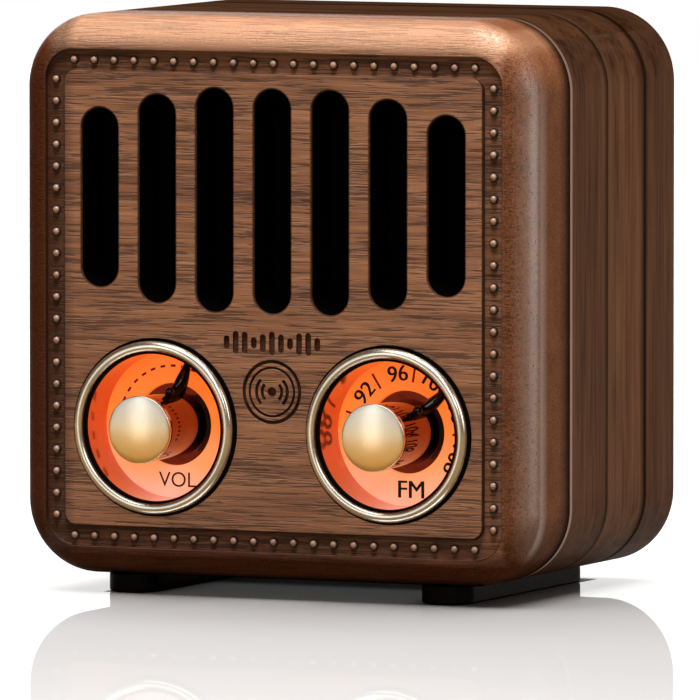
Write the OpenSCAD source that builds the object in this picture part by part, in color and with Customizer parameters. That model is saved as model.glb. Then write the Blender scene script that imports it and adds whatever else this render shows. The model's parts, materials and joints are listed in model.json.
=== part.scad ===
// Tabletop radio: a laminated walnut cabinet with two lit dials, a slotted grille and rail feet.
// Parts are drawn in the face frame: x to the right, y up, z out of the front face,
// with its zero at the centre of that face. in_cabinet() stands the face frame upright.

/* [Cabinet] */
// Width of the cabinet
body_w = 100; // [96:1:110]
// Height of the cabinet without its feet
body_h = 101; // [98:1:110]
// Thickness of the front slab
front_t = 19.6; // [17.5:0.1:22]
// Thickness of each of the three rings behind it
ring_t = 16.8; // [16.5:0.1:20]
// Thickness of the side walls
wall_t = 9; // [8:0.5:9]
// Thickness of the front wall, through which the slots and dials pass
front_wall = 9; // [8.5:0.5:9]
// Radius of the cabinet's corners seen from the front
corner_r = 13.3; // [11:0.1:14]
// Rounding of the front edge
front_round = 5.6; // [4:0.1:6]
// Rounding of the rear edge
rear_round = 4; // [2:0.5:5]

/* [Studded border] */
// Distance between studs
stud_pitch = 3.93; // [3.8:0.01:3.95]
// Studs along each side of the border
studs_per_side = 21; // [15:2:21]
// Distance from the border's centre to a row of studs
stud_line = 42.9; // [42:0.1:43]
// Height of the cabinet's centre above the border's centre
border_drop = 0.6; // [0:0.1:1]
// Width of the sunk border
border_w = 3.7; // [3:0.1:4]
// Depth of the sunk border
border_depth = 1; // [0.4:0.1:1.2]
// Radius of a stud's dome
stud_r = 0.7; // [0.5:0.01:0.8]

/* [Grille] */
// Width of a grille slot
slot_w = 7.1; // [6:0.1:8]
// Distance between the centres of neighbouring slots
slot_pitch = 11.33; // [10:0.01:11.5]
// Length of the middle slots
slot_long = 40.1; // [36:0.1:41]
// Height of the grille's centre above the cabinet's centre
grille_y = 17.6; // [17:0.1:18]

/* [Dials] */
// Distance of each dial from the middle, sideways
dial_x = 22.9; // [22:0.1:23.5]
// Distance of each dial below the middle
dial_drop = 23.5; // [23:0.1:23.8]
// Radius of the bezel's opening
dial_r = 13.6; // [13:0.1:13.6]
// Depth of the dial plate behind the face
dial_depth = 7.5; // [6:0.1:7.6]
// How far the knob's cap stands out of the face
knob_out = 7.6; // [6:0.1:10]
// Radius of the knob's cap
cap_r = 6.1; // [5.8:0.1:6.4]
// Radius of the knob's stem
stem_r = 5.9; // [5:0.1:6]
// Angle at which the volume pointer rests, clockwise from the top
volume_rest = 18; // [-130:1:130]
// Angle at which the tuning pointer rests, clockwise from the top
tuning_rest = 48; // [-90:1:110]

/* [Feet] */
// Height of the rail feet
foot_h = 3.5; // [3.2:0.1:6]
// Width of a rail foot
foot_w = 9.8; // [8:0.1:12]
// Length of a rail foot, front to back
foot_l = 57; // [46:1:60]
// Distance of a foot's middle line from the cabinet's middle
foot_x = 30.8; // [26:0.1:31]

/* [Hidden] */
$fn = 64;

body_d = front_t + 3 * ring_t;
face_y = -(body_d - knob_out) / 2;
face_z = foot_h + body_h / 2;
inner_w = body_w - 2 * wall_t;
inner_h = body_h - 2 * wall_t;
inner_r = 4;
play = 0.3;

slot_lengths = [for (k = [-3 : 3]) slot_long - [0, 0, 2.7, 7.9][abs(k)]];
dial_y = -dial_drop;
tube_wall = 1;
tube_r = dial_r + tube_wall;
lip_w = 2;
lip_out = 2;
gasket_w = 0.5;
plate_t = 1.2;
plate_back = -dial_depth - plate_t;
hole_r = 7.45;
cap_t = 1.2;
shaft_r = 3;
nut_r = 5.77;
housing_t = 1;
bush_r = 3.5;
shaft_play = 0.05;
board_t = 1.6;
control_z = -front_wall - 6;
control_back = control_z - board_t;
pot_depth = 8;
capacitor_depth = 11;

driver_w = 44;
cone_r = 17;
flange_z = -front_wall - 3.1;
driver_back = flange_z - 8.1;

panel_t = 2.5;
panel_recess = 2;
panel_back = -body_d + panel_recess;
panel_front = panel_back + panel_t;
block_w = 9;
block_h = 12.5;
glue_line = 0.05;
screw_inset = 5;
foot_z = -4 - foot_l / 2;
foot_hole_r = 1.45;
foot_screw_gap = 10;
main_y = -34;
main_front = -33;
main_w = 61;
main_x = 28;
jack_x = 22;
jack_y = main_y + 2.6;
jack_r = 1.8;
usb_x = 11;
usb_y = main_y + 1.63;
card_x = -4;
card_y = main_y + 0.95;
switch_x = -20;
switch_y = main_y + 2.2;

WALNUT = [0.36, 0.21, 0.14];
ORANGE = [1.0, 0.42, 0.12];
CHAMPAGNE = [0.78, 0.72, 0.58];
BLACK = [0.04, 0.04, 0.04];
STEEL = [0.62, 0.63, 0.65];
GREEN = [0.05, 0.3, 0.15];

// ---- placing ----

module in_cabinet() {
    translate([0, face_y, face_z]) rotate([90, 0, 0]) children();
}

module at_dial(side) {
    in_cabinet() translate([side * dial_x, dial_y, 0]) children();
}

// Turned clockwise, as the viewer sees it, from the top.
module clockwise(angle) {
    rotate([0, 0, -angle]) children();
}

module at_driver() {
    in_cabinet() translate([0, grille_y, 0]) children();
}

// A slice of the 2D children from z1 down to z2.
module slice(z1, z2) {
    translate([0, 0, z2]) linear_extrude(z1 - z2) children();
}

module disc(r, z1, z2) {
    translate([0, 0, z2]) cylinder(r = r, h = z1 - z2);
}

module tube(r_out, r_in, z1, z2) {
    difference() {
        disc(r_out, z1, z2);
        disc(r_in, z1 + 1, z2 - 1);
    }
}

module at_corners(x, y) {
    for (sx = [-1, 1], sy = [-1, 1]) translate([sx * x, sy * y, 0]) children();
}

// ---- outlines ----

module rounded(w, h, r) {
    square([w - 2 * r, h], center = true);
    square([w, h - 2 * r], center = true);
    for (sx = [-1, 1], sy = [-1, 1])
        translate([sx * (w / 2 - r), sy * (h / 2 - r)]) circle(r);
}

module stadium(w, l) {
    square([w, l - w], center = true);
    for (s = [-1, 1]) translate([0, s * (l - w) / 2]) circle(w / 2);
}

// ---- cabinet ----

// Half of a slab's outline near its edge: as wide as the corner radius, with its top edge rounded.
module edge_profile(t, edge_r) {
    difference() {
        square([corner_r, t]);
        translate([corner_r - edge_r, t - edge_r]) difference() {
            square(edge_r + 1);
            circle(edge_r);
        }
    }
}

// A slab from z = 0 up to t, with the corners of the cabinet and a rounded top edge.
module soft_slab(t, edge_r) {
    x = body_w / 2 - corner_r;
    y = body_h / 2 - corner_r;
    translate([-x, -y, 0]) cube([2 * x, 2 * y, t]);
    for (corner = [[x, y, 0], [-x, y, 90], [-x, -y, 180], [x, -y, 270]])
        translate([corner[0], corner[1], 0]) rotate([0, 0, corner[2]])
            rotate_extrude(angle = 90) edge_profile(t, edge_r);
    for (side = [[x, 2 * y, 0], [y, 2 * x, 90], [x, 2 * y, 180], [y, 2 * x, 270]])
        rotate([0, 0, side[2]]) translate([side[0], side[1] / 2, 0])
            rotate([90, 0, 0]) linear_extrude(side[1]) edge_profile(t, edge_r);
}

module border_cut() {
    translate([0, -border_drop, 0]) slice(1, -border_depth) difference() {
        rounded(2 * stud_line + border_w, 2 * stud_line + border_w, 5.3);
        rounded(2 * stud_line - border_w, 2 * stud_line - border_w, 2.2);
    }
}

// A plain broadcast sign in a double ring, and a row of level bars above it.
module ornament_cut() {
    depth = 0.5;
    translate([0, -16.5, 0]) {
        tube(5.7, 5.2, 1, -depth);
        tube(4.5, 4.2, 1, -depth);
        disc(0.8, 1, -depth);
        for (side = [0, 180], r = [1.7, 2.8])
            intersection() {
                tube(r + 0.45, r, 1, -depth);
                rotate([0, 0, side - 45]) translate([0, 0, -depth]) cube([9, 9, depth + 1]);
            }
    }
    for (k = [-6 : 6])
        translate([k * 1.5, -7.8, 0]) slice(1, -depth) stadium(0.7, 1.4 + 2.8 * abs(cos(k * 50)));
}

module front_slab() {
    color(WALNUT) in_cabinet() difference() {
        translate([0, 0, -front_t]) soft_slab(front_t, front_round);
        slice(-front_wall, -front_t - 1) rounded(inner_w, inner_h, inner_r);
        for (k = [0 : len(slot_lengths) - 1])
            translate([(k - 3) * slot_pitch, grille_y, 0])
                slice(1, -front_wall - 1) stadium(slot_w, slot_lengths[k]);
        for (side = [-1, 1]) translate([side * dial_x, dial_y, 0]) disc(tube_r + 0.1, 1, -front_wall - 1);
        border_cut();
        ornament_cut();
    }
}

module band_studs() {
    reach = (studs_per_side - 1) / 2;
    color(WALNUT * 1.3) in_cabinet() translate([0, -border_drop, 0])
        for (quarter = [0 : 3], k = [-reach : reach])
            rotate([0, 0, 90 * quarter]) translate([stud_line, k * stud_pitch, -border_depth])
                intersection() {
                    sphere(stud_r);
                    translate([0, 0, 1]) cube(2, center = true);
                }
}

// One quarter of a layer's outline, between the two glued mitres of a stave.
module stave_sector() {
    far = body_w + body_h;
    translate([glue_line, 0]) polygon([[0, 0], [far, -far], [far, far]]);
}

module foot_screw_holes() {
    for (side = [-1, 1], s = [-1, 1])
        translate([side * foot_x, -body_h / 2 - 1, foot_z + s * foot_screw_gap])
            rotate([-90, 0, 0]) cylinder(r = foot_hole_r, h = 6);
}

// A layer made of four mitred staves, which stay separate solids.
module stave_ring(layer) {
    front = -front_t - (layer - 1) * ring_t;
    for (quarter = [0 : 3]) difference() {
        slice(front, front - ring_t) intersection() {
            difference() {
                rounded(body_w, body_h, corner_r);
                rounded(inner_w, inner_h, inner_r);
            }
            rotate(90 * quarter) stave_sector();
        }
        foot_screw_holes();
    }
}

module ring_front() { color(WALNUT * 0.85) in_cabinet() stave_ring(1); }
module ring_middle() { color(WALNUT * 0.95) in_cabinet() stave_ring(2); }

module ring_rear() {
    color(WALNUT * 0.8) in_cabinet()
        for (quarter = [0 : 3])
            intersection() {
                difference() {
                    translate([0, 0, -body_d + ring_t]) mirror([0, 0, 1]) soft_slab(ring_t, rear_round);
                    slice(0, -body_d - 1) rounded(inner_w, inner_h, inner_r);
                }
                slice(0, -body_d - 1) rotate(90 * quarter) stave_sector();
            }
}

module corner_blocks() {
    x = inner_w / 2 - block_w / 2;
    y = inner_h / 2 - block_w / 2;
    color([0.6, 0.45, 0.3]) in_cabinet()
        difference() {
            intersection() {
                at_corners(x, y) slice(panel_front + block_h, panel_front) square(block_w, center = true);
                slice(panel_front + block_h, panel_front) rounded(inner_w, inner_h, inner_r + 0.1);
            }
            at_corners(inner_w / 2 - screw_inset, inner_h / 2 - screw_inset)
                disc(1.4, panel_front + 9, panel_front - 1);
        }
}

module rear_panel() {
    color(BLACK) in_cabinet() difference() {
        slice(panel_front, panel_back) rounded(inner_w - play, inner_h - play, inner_r - play / 2);
        at_corners(inner_w / 2 - screw_inset, inner_h / 2 - screw_inset)
            disc(1.6, panel_front + 1, panel_back - 1);
        translate([jack_x, jack_y, 0]) disc(3.1, panel_front + 1, panel_back - 1);
        translate([usb_x, usb_y, 0]) slice(panel_front + 1, panel_back - 1) rounded(9.2, 3.5, 1.6);
        translate([card_x, card_y, 0]) slice(panel_front + 1, panel_back - 1)
            square([14.4, 2.3], center = true);
        translate([switch_x, switch_y, 0]) slice(panel_front + 1, panel_back - 1)
            square([7.4, 2.6], center = true);
    }
}

module rear_screws() {
    color(STEEL) in_cabinet() at_corners(inner_w / 2 - screw_inset, inner_h / 2 - screw_inset)
        difference() {
            union() {
                disc(1.4, panel_front + 7, panel_back);
                disc(2.8, panel_back, panel_back - 1.4);
            }
            for (turn = [0, 90]) rotate([0, 0, turn])
                translate([0, 0, panel_back - 1.4]) cube([2.8, 0.6, 1.2], center = true);
        }
}

// ---- feet ----

module foot(side) {
    color(BLACK) translate([side * foot_x, face_y - foot_z, 0]) difference() {
        linear_extrude(foot_h) stadium(foot_w, foot_l);
        for (s = [-1, 1]) translate([0, s * foot_screw_gap, -1]) {
            cylinder(r = 3, h = foot_h - 0.4);
            cylinder(r = foot_hole_r, h = foot_h + 2);
        }
    }
}

module foot_screws() {
    color(STEEL) for (side = [-1, 1], s = [-1, 1])
        translate([side * foot_x, face_y - foot_z + s * foot_screw_gap, foot_h - 2.6]) difference() {
            union() {
                cylinder(r = 2.8, h = 1.2);
                cylinder(r = foot_hole_r, h = 7);
            }
            for (turn = [0, 90]) rotate([0, 0, turn]) cube([2.8, 0.6, 1], center = true);
        }
}

// ---- speaker ----

module grille_cloth() {
    color(BLACK) at_driver() slice(-front_wall, -front_wall - 0.3) rounded(80, 45, 3);
}

module baffle() {
    color([0.1, 0.1, 0.1]) at_driver() difference() {
        slice(-front_wall - 0.3, -front_wall - 2.3) rounded(80, 45, 3);
        disc(19.5, 0, -40);
        at_corners(18.4, 18.4) disc(1.3, -front_wall - 0.8, -40);
    }
}

module speaker_gasket() {
    color([0.15, 0.15, 0.15]) at_driver() difference() {
        slice(-front_wall - 2.3, flange_z) rounded(driver_w, driver_w, 5);
        disc(19.5, 0, -40);
        at_corners(18.4, 18.4) disc(1.3, 0, -40);
    }
}

module speaker_frame() {
    wide = [20.6, 19.4];
    narrow = [14, 13];
    color([0.2, 0.2, 0.22]) at_driver() difference() {
        union() {
            slice(flange_z, flange_z - 1) rounded(driver_w, driver_w, 5);
            translate([0, 0, driver_back]) cylinder(r1 = narrow[0], r2 = wide[0], h = 7.1);
        }
        translate([0, 0, driver_back + 0.8]) cylinder(r1 = narrow[1], r2 = wide[1], h = 6.31);
        disc(wide[1], 0, flange_z - 1);
        disc(7, 0, -60);
        at_corners(18.4, 18.4) disc(1.3, 0, -40);
        for (turn = [45 : 90 : 315]) rotate([0, 0, turn])
            translate([17, 0, driver_back + 3.6]) cube([14, 15, 4], center = true);
    }
}

module speaker_surround() {
    color(BLACK) at_driver() rotate_extrude() {
        difference() {
            union() {
                translate([cone_r + 1.2, flange_z - 0.9]) circle(1.05);
                translate([cone_r + 0.15, flange_z - 1]) square([2.2, 0.4]);
            }
            translate([cone_r + 1.2, flange_z - 0.9]) circle(0.7);
            translate([cone_r - 1, flange_z - 3]) square([5, 2]);
        }
    }
}

module speaker_spider() {
    color([0.75, 0.6, 0.35]) at_driver() tube(13, 6.8, driver_back + 1.3, driver_back + 0.8);
}

module speaker_top_plate() {
    color(STEEL) at_driver() tube(14, 6.9, driver_back, driver_back - 2);
}

module speaker_magnet() {
    color([0.15, 0.15, 0.17]) at_driver() tube(14, 8.5, driver_back - 2, driver_back - 8);
}

module speaker_yoke() {
    color(STEEL) at_driver() {
        disc(13.5, driver_back - 8, driver_back - 10.5);
        disc(5.9, driver_back, driver_back - 10.5);
    }
}

module speaker_tag() {
    color([0.7, 0.5, 0.25]) at_driver()
        translate([12.6, -20.2, flange_z - 1.4]) cube([5, 3.4, 0.8], center = true);
}

module speaker_screws() {
    color(STEEL) at_driver() at_corners(18.4, 18.4) {
        disc(1.3, -front_wall - 0.8, flange_z - 1);
        disc(2.4, flange_z - 1, flange_z - 2.4);
    }
}

module speaker_cone() {
    color([0.1, 0.1, 0.1]) at_driver() rotate_extrude()
        polygon([[6.55, driver_back + 2.6], [7.1, driver_back + 2.6], [cone_r, flange_z - 1.5],
                 [cone_r, flange_z - 0.9], [6.55, driver_back + 3.3]]);
}

module dust_cap() {
    dome_r = 14;
    rise = 1.8;
    color([0.12, 0.12, 0.12]) at_driver() translate([0, 0, driver_back + 3.4 + rise - dome_r])
        difference() {
            sphere(dome_r);
            sphere(dome_r - 0.4);
            translate([0, 0, -rise]) cube(2 * dome_r, center = true);
        }
}

module voice_coil() {
    color([0.75, 0.4, 0.2]) at_driver() tube(6.5, 6.2, driver_back + 3.2, driver_back - 4);
}

// ---- dials ----

module bezel(side) {
    color(CHAMPAGNE) at_dial(side) rotate_extrude() {
        translate([dial_r, -front_wall]) square([tube_wall, front_wall]);
        translate([dial_r, 0]) square([lip_w, lip_out - lip_w / 2]);
        translate([dial_r + lip_w / 2, lip_out - lip_w / 2]) circle(lip_w / 2);
    }
}

// Thin black rings between the bezels and the front face.
module dial_gaskets() {
    color(BLACK) for (side = [-1, 1])
        at_dial(side) tube(dial_r + lip_w + gasket_w, dial_r + lip_w, 0.5, 0);
}

module dial_plate(side) {
    color(ORANGE) at_dial(side) tube(dial_r - 0.05, hole_r, -dial_depth, plate_back);
}

// A black cup whose inner tube keeps the light out of the shaft's opening.
module lamp_housing(side) {
    color(BLACK) at_dial(side) {
        tube(dial_r - 0.1, dial_r - 1.1, plate_back, control_z);
        tube(hole_r + 0.8, hole_r, plate_back, control_z);
        tube(tube_r, bush_r + shaft_play, control_z + housing_t, control_z);
    }
}

module led_board(side) {
    color("white") at_dial(side)
        tube(dial_r - 1.2, hole_r + 0.9, control_z + housing_t + 1, control_z + housing_t);
}

module dial_leds() {
    color([1, 0.9, 0.6]) for (side = [-1, 1], turn = [45 : 90 : 315]) at_dial(side)
        rotate([0, 0, turn]) translate([10.4, 0, control_z + 2.5]) cube([2.8, 2.8, 1], center = true);
}

module lock_nuts() {
    color(STEEL) for (side = [-1, 1]) at_dial(side) difference() {
        translate([0, 0, control_z + housing_t]) cylinder(r = nut_r, h = 2.2, $fn = 6);
        disc(bush_r, 0, -40);
    }
}

module control_body(side, case_depth, square_case) {
    back = control_back - case_depth;
    color(STEEL) at_dial(side) difference() {
        union() {
            disc(bush_r, control_z + 4, control_back - 1);
            if (square_case) slice(control_back, back) rounded(20, 20, 1.5);
            else disc(8.5, control_back, back);
        }
        disc(shaft_r + shaft_play, 0, control_back - 1.5);
        disc(7.5, control_back - 1, back + 0.8);
    }
}

module shaft(side, case_depth) {
    color([0.8, 0.8, 0.8]) at_dial(side) {
        disc(shaft_r, 2, control_back - case_depth + 2);
        disc(6.5, control_back - 1.8, control_back - 2.8);
    }
}

module knob(side) {
    color(CHAMPAGNE) at_dial(side) difference() {
        disc(stem_r, knob_out - cap_t, plate_back - 0.6);
        disc(shaft_r, 2, plate_back - 1);
    }
}

module knob_cap(side) {
    edge = 0.3;
    color(CHAMPAGNE * 1.15) at_dial(side) rotate_extrude()
        polygon([[0, knob_out - cap_t], [cap_r, knob_out - cap_t], [cap_r, knob_out - edge],
                 [cap_r - edge, knob_out], [0, knob_out]]);
}

// A fin along the stem that turns outwards into a pointer over the dial plate.
module pointer(side, rest_angle) {
    tip = 12;
    low = -dial_depth + 1.6;
    color(BLACK) at_dial(side) clockwise(rest_angle) difference() {
        intersection() {
            translate([2, 0, 0]) rotate([90, 0, -90]) linear_extrude(4)
                polygon([[-stem_r + 0.6, 0], [-stem_r - 0.6, 0], [-8.4, low + 2],
                         [-tip, low + 1], [-tip, low], [-stem_r + 0.6, low]]);
            slice(knob_out, -dial_depth)
                polygon([[-0.9, 0], [0.9, 0], [0.9, 8], [0.4, tip], [-0.4, tip], [-0.9, 8]]);
        }
        disc(stem_r, 20, -20);
    }
}

// ---- electronics ----

module control_board() {
    color(GREEN) in_cabinet() difference() {
        translate([0, dial_y, 0]) slice(control_z, control_back) rounded(78, 32, 2);
        for (side = [-1, 1]) translate([side * dial_x, dial_y, 0]) disc(bush_r + 0.1, 0, -40);
        translate([0, dial_y, 0]) at_corners(36, 13) disc(1.3, 0, -40);
    }
}

module board_standoffs() {
    color([0.75, 0.62, 0.3]) in_cabinet() {
        translate([0, dial_y, 0]) at_corners(36, 13) tube(2.4, 1.2, -front_wall, control_z);
        for (sx = [-1, 1], z = [main_front - 5, main_front - 25])
            translate([sx * main_x, 0, z]) rotate([90, 0, 0]) difference() {
                translate([0, 0, -main_y + board_t]) cylinder(r = 2.4, h = inner_h / 2 + main_y - board_t);
                translate([0, 0, -main_y]) cylinder(r = 1.2, h = 6);
            }
    }
}

module board_screws() {
    color(STEEL) in_cabinet() {
        translate([0, dial_y, 0]) at_corners(36, 13) {
            disc(1.2, control_z + 4, control_back);
            disc(2.2, control_back, control_back - 1.3);
        }
        for (sx = [-1, 1], z = [main_front - 5, main_front - 25])
            translate([sx * main_x, 0, z]) rotate([90, 0, 0]) {
                translate([0, 0, -main_y]) cylinder(r = 1.2, h = 5);
                translate([0, 0, -main_y - 1.3]) cylinder(r = 2.2, h = 1.3);
            }
    }
}

module main_board() {
    length = main_front - panel_front - 0.2;
    color(GREEN) in_cabinet() difference() {
        translate([-main_w / 2, main_y - board_t, main_front - length]) cube([main_w, board_t, length]);
        for (sx = [-1, 1], z = [main_front - 5, main_front - 25])
            translate([sx * main_x, 0, z]) rotate([90, 0, 0]) cylinder(r = 1.3, h = 60);
    }
}

module on_main_board(x, back) {
    in_cabinet() translate([x, main_y, main_front - back]) children();
}

module board_chips() {
    color([0.1, 0.1, 0.1]) {
        on_main_board(-14, 9) translate([-5, 0, -5]) cube([10, 1.6, 10]);
        on_main_board(6, 8) translate([-4, 0, -3]) cube([8, 1.4, 6]);
        on_main_board(2, 17) translate([-2.5, 0, -2]) cube([5, 1.2, 4]);
    }
}

module board_capacitors() {
    color([0.1, 0.12, 0.3]) for (spot = [[16, 6, 3.2], [16, 14, 3.2], [24, 12, 2.5]])
        on_main_board(spot[0], spot[1]) rotate([-90, 0, 0]) cylinder(r = spot[2], h = 2.6 * spot[2]);
}

module battery() {
    color([0.3, 0.45, 0.7]) in_cabinet() translate([0, 4, 0])
        slice(panel_front + 9, panel_front + 1) rounded(56, 38, 3);
}

module battery_pad() {
    color([0.9, 0.9, 0.9]) in_cabinet() translate([0, 4, 0])
        slice(panel_front + 1, panel_front) rounded(50, 30, 2);
}

module mode_switch() {
    color(STEEL) in_cabinet() translate([switch_x, switch_y, panel_front]) difference() {
        translate([-5, -2.2, 0]) cube([10, 4.4, 5.8]);
        translate([-4.2, -1.5, 0.8]) cube([8.4, 3, 4.2]);
        translate([-3.6, -1.15, -1]) cube([7.2, 2.3, 3]);
    }
}

module mode_slider() {
    color(BLACK) in_cabinet() translate([switch_x, switch_y, panel_front]) {
        translate([-2.1, -1.2, 1.1]) cube([4.2, 2.4, 2.8]);
        translate([-1.5, -0.85, -panel_t - 1.4]) cube([3, 1.7, panel_t + 2.6]);
    }
}

module charge_socket() {
    color(STEEL) in_cabinet() translate([usb_x, usb_y, 0]) {
        difference() {
            slice(panel_back + 7.3, panel_back) rounded(8.94, 3.26, 1.55);
            slice(panel_back + 6.6, panel_back - 1) rounded(8.34, 2.66, 1.3);
        }
        slice(panel_back + 6.6, panel_back + 1) square([6.7, 0.7], center = true);
    }
}

module card_reader() {
    color(STEEL) in_cabinet() translate([card_x, card_y, 0]) difference() {
        slice(panel_back + 15, panel_back) square([14, 1.9], center = true);
        slice(panel_back + 14, panel_back - 1) square([11.4, 1.1], center = true);
    }
}

module aux_jack() {
    color(BLACK) in_cabinet() translate([jack_x, jack_y, 0]) difference() {
        union() {
            slice(panel_front + 11.4, panel_front) square([6.4, 5.2], center = true);
            disc(3, panel_front, panel_back);
        }
        disc(jack_r, panel_back + 13, panel_back - 1);
    }
}

// ---- wiring ----

function unit(v) = v / norm(v);
function tangent(p, i) = unit(p[min(i + 1, len(p) - 1)] - p[max(i - 1, 0)]);
function ring(p, i, r, n) =
    let (t = tangent(p, i), u = unit(cross(t, [0.31, 0.17, 0.93])), v = cross(t, u))
    [for (k = [0 : n - 1]) p[i] + r * (cos(360 * k / n) * u + sin(360 * k / n) * v)];

// A round wire along a list of points.
module wire(p, r, n = 8) {
    last = len(p) - 1;
    points = [for (i = [0 : last]) each ring(p, i, r, n)];
    sides = [for (i = [0 : last - 1], k = [0 : n - 1])
        let (a = i * n + k, b = i * n + (k + 1) % n) [a, a + n, b + n, b]];
    ends = [[for (k = [0 : n - 1]) k], [for (k = [n - 1 : -1 : 0]) last * n + k]];
    polyhedron(points = points, faces = concat(sides, ends));
}

// Points along a smooth curve through the given ones.
function smooth(p, steps = 3) = [
    for (i = [0 : len(p) - 2], s = [0 : steps - 1])
        let (a = p[max(i - 1, 0)], b = p[i], c = p[i + 1], d = p[min(i + 2, len(p) - 1)], t = s / steps)
        0.5 * (2 * b + (c - a) * t
            + (2 * a - 5 * b + 4 * c - d) * pow(t, 2)
            + (3 * b - a - 3 * c + d) * pow(t, 3)),
    p[len(p) - 1]
];

speaker_route = [[12.6, -2.6, flange_z - 1.8], [12.4, -3.2, -18], [10, -8, -26], [4, -22, -33],
                 [0, -31, -39], [-0.6, main_y + 1.6, -41], [-0.6, main_y + 0.1, -41]];
battery_route = [[-25, -15.1, -60], [-25, -16.6, -60], [-25, -21, -58], [-25, -28, -54],
                 [-25, main_y + 1.6, -52], [-25, main_y + 0.1, -52]];
antenna_route = [[27, main_y + 0.1, -46], [27, main_y + 1.6, -46], [28.5, -30.5, -46],
                 [34, -27, -46], [39, -18, -46], [39.9, 0, -46], [39.9, 30, -46],
                 [37, 38, -46], [28, 40.3, -46], [-20, 40.3, -46], [-32, 40.3, -46]];

// Lead pairs for the speaker and battery, the antenna wire, and the ribbon between the boards.
module wiring() {
    color([0.7, 0.1, 0.1]) in_cabinet() {
        for (dx = [-1.5, 1.5]) translate([dx, 0, 0]) wire(smooth(speaker_route), 0.6);
        for (dx = [-1, 1]) translate([dx, 0, 0]) wire(smooth(battery_route), 0.6);
        wire(smooth(antenna_route), 0.5);
        translate([-6, 0, 0]) rotate([0, 90, 0]) linear_extrude(12)
            polygon([[-control_back, -30.4], [-control_back + 9, -30.4], [33.4, main_y], [36, main_y],
                     [36, main_y + 0.6], [33.6, main_y + 0.6], [-control_back + 9.2, -29.8],
                     [-control_back, -29.8]]);
    }
}

// ---- nodes ----

front_slab();
band_studs();
ring_front();
ring_middle();
ring_rear();
corner_blocks();
rear_panel();
rear_screws();
foot(-1);  // foot_left
foot(1);  // foot_right
foot_screws();
grille_cloth();
baffle();
speaker_gasket();
speaker_frame();
speaker_surround();
speaker_spider();
speaker_top_plate();
speaker_magnet();
speaker_yoke();
speaker_tag();
speaker_screws();
speaker_cone();
dust_cap();
voice_coil();
dial_gaskets();
dial_leds();
lock_nuts();
bezel(-1);  // volume_bezel
dial_plate(-1);  // volume_dial
lamp_housing(-1);  // volume_lamp_housing
led_board(-1);  // volume_led_board
control_body(-1, pot_depth, false);  // volume_pot
knob(-1);  // volume_knob
knob_cap(-1);  // volume_knob_cap
pointer(-1, volume_rest);  // volume_pointer
shaft(-1, pot_depth);  // volume_shaft
bezel(1);  // tuning_bezel
dial_plate(1);  // tuning_dial
lamp_housing(1);  // tuning_lamp_housing
led_board(1);  // tuning_led_board
control_body(1, capacitor_depth, true);  // tuning_capacitor
knob(1);  // tuning_knob
knob_cap(1);  // tuning_knob_cap
pointer(1, tuning_rest);  // tuning_pointer
shaft(1, capacitor_depth);  // tuning_shaft
control_board();
board_standoffs();
board_screws();
main_board();
board_chips();
board_capacitors();
battery();
battery_pad();
mode_switch();
mode_slider();
charge_socket();
card_reader();
aux_jack();
wiring();
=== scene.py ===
import json
import math

import bmesh
import bpy
from mathutils import Matrix, Vector

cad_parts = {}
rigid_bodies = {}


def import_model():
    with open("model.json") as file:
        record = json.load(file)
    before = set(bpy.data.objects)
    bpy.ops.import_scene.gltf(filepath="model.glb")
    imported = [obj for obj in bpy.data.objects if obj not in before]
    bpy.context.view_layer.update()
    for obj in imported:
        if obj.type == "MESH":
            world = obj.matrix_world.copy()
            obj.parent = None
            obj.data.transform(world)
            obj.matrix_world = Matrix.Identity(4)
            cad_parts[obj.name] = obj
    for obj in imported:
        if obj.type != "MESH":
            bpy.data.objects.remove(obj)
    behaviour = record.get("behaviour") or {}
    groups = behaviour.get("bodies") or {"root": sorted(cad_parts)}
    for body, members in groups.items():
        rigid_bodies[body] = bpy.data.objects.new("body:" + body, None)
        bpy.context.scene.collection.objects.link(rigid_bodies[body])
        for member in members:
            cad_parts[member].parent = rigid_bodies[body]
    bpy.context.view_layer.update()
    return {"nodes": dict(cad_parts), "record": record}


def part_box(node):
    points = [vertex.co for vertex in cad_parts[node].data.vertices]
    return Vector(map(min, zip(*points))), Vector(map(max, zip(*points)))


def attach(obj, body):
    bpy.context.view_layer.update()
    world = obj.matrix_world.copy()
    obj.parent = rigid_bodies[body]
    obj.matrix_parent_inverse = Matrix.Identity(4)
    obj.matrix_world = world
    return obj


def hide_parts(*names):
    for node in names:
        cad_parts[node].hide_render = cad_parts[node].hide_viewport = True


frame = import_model()

# ---------------------------------------------------------------------------
# Sizes, in millimetres. The face frame has x to the right, y up and z out of
# the front face, with its zero in the middle of the cabinet's front.

MM = 0.001
MICRON = 0.000001

slab_low, slab_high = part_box("front_slab")
WIDE = (slab_high[0] - slab_low[0]) / MM
TALL = (slab_high[2] - slab_low[2]) / MM
SLAB_T = (slab_high[1] - slab_low[1]) / MM
FACE_Y = slab_low[1]
REAR_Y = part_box("ring_rear")[1][1]
MID_Z = (slab_high[2] + slab_low[2]) / 2

CORNER_R = 13.3
FRONT_ROUND = 5.6
REAR_ROUND = 4.0
EASE = 0.45
SLAB_EASE = 1.1
WALL = 9.0
INNER_R = 4.0
FRONT_WALL = 9.0

BORDER_DROP = 0.6
STUD_LINE = 42.9
STUD_PITCH = 3.93
STUD_SIDE = 10
STUD_R = 0.7
BORDER_W = 3.7
BORDER_R = 5.3
BORDER_INNER_R = 2.2
BORDER_DEPTH = 1.0

GRILLE_Y = 17.6
SLOT_W = 7.1
SLOT_PITCH = 11.33
SLOT_LENGTHS = {0: 40.1, 1: 40.1, 2: 37.4, 3: 32.2}

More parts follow.
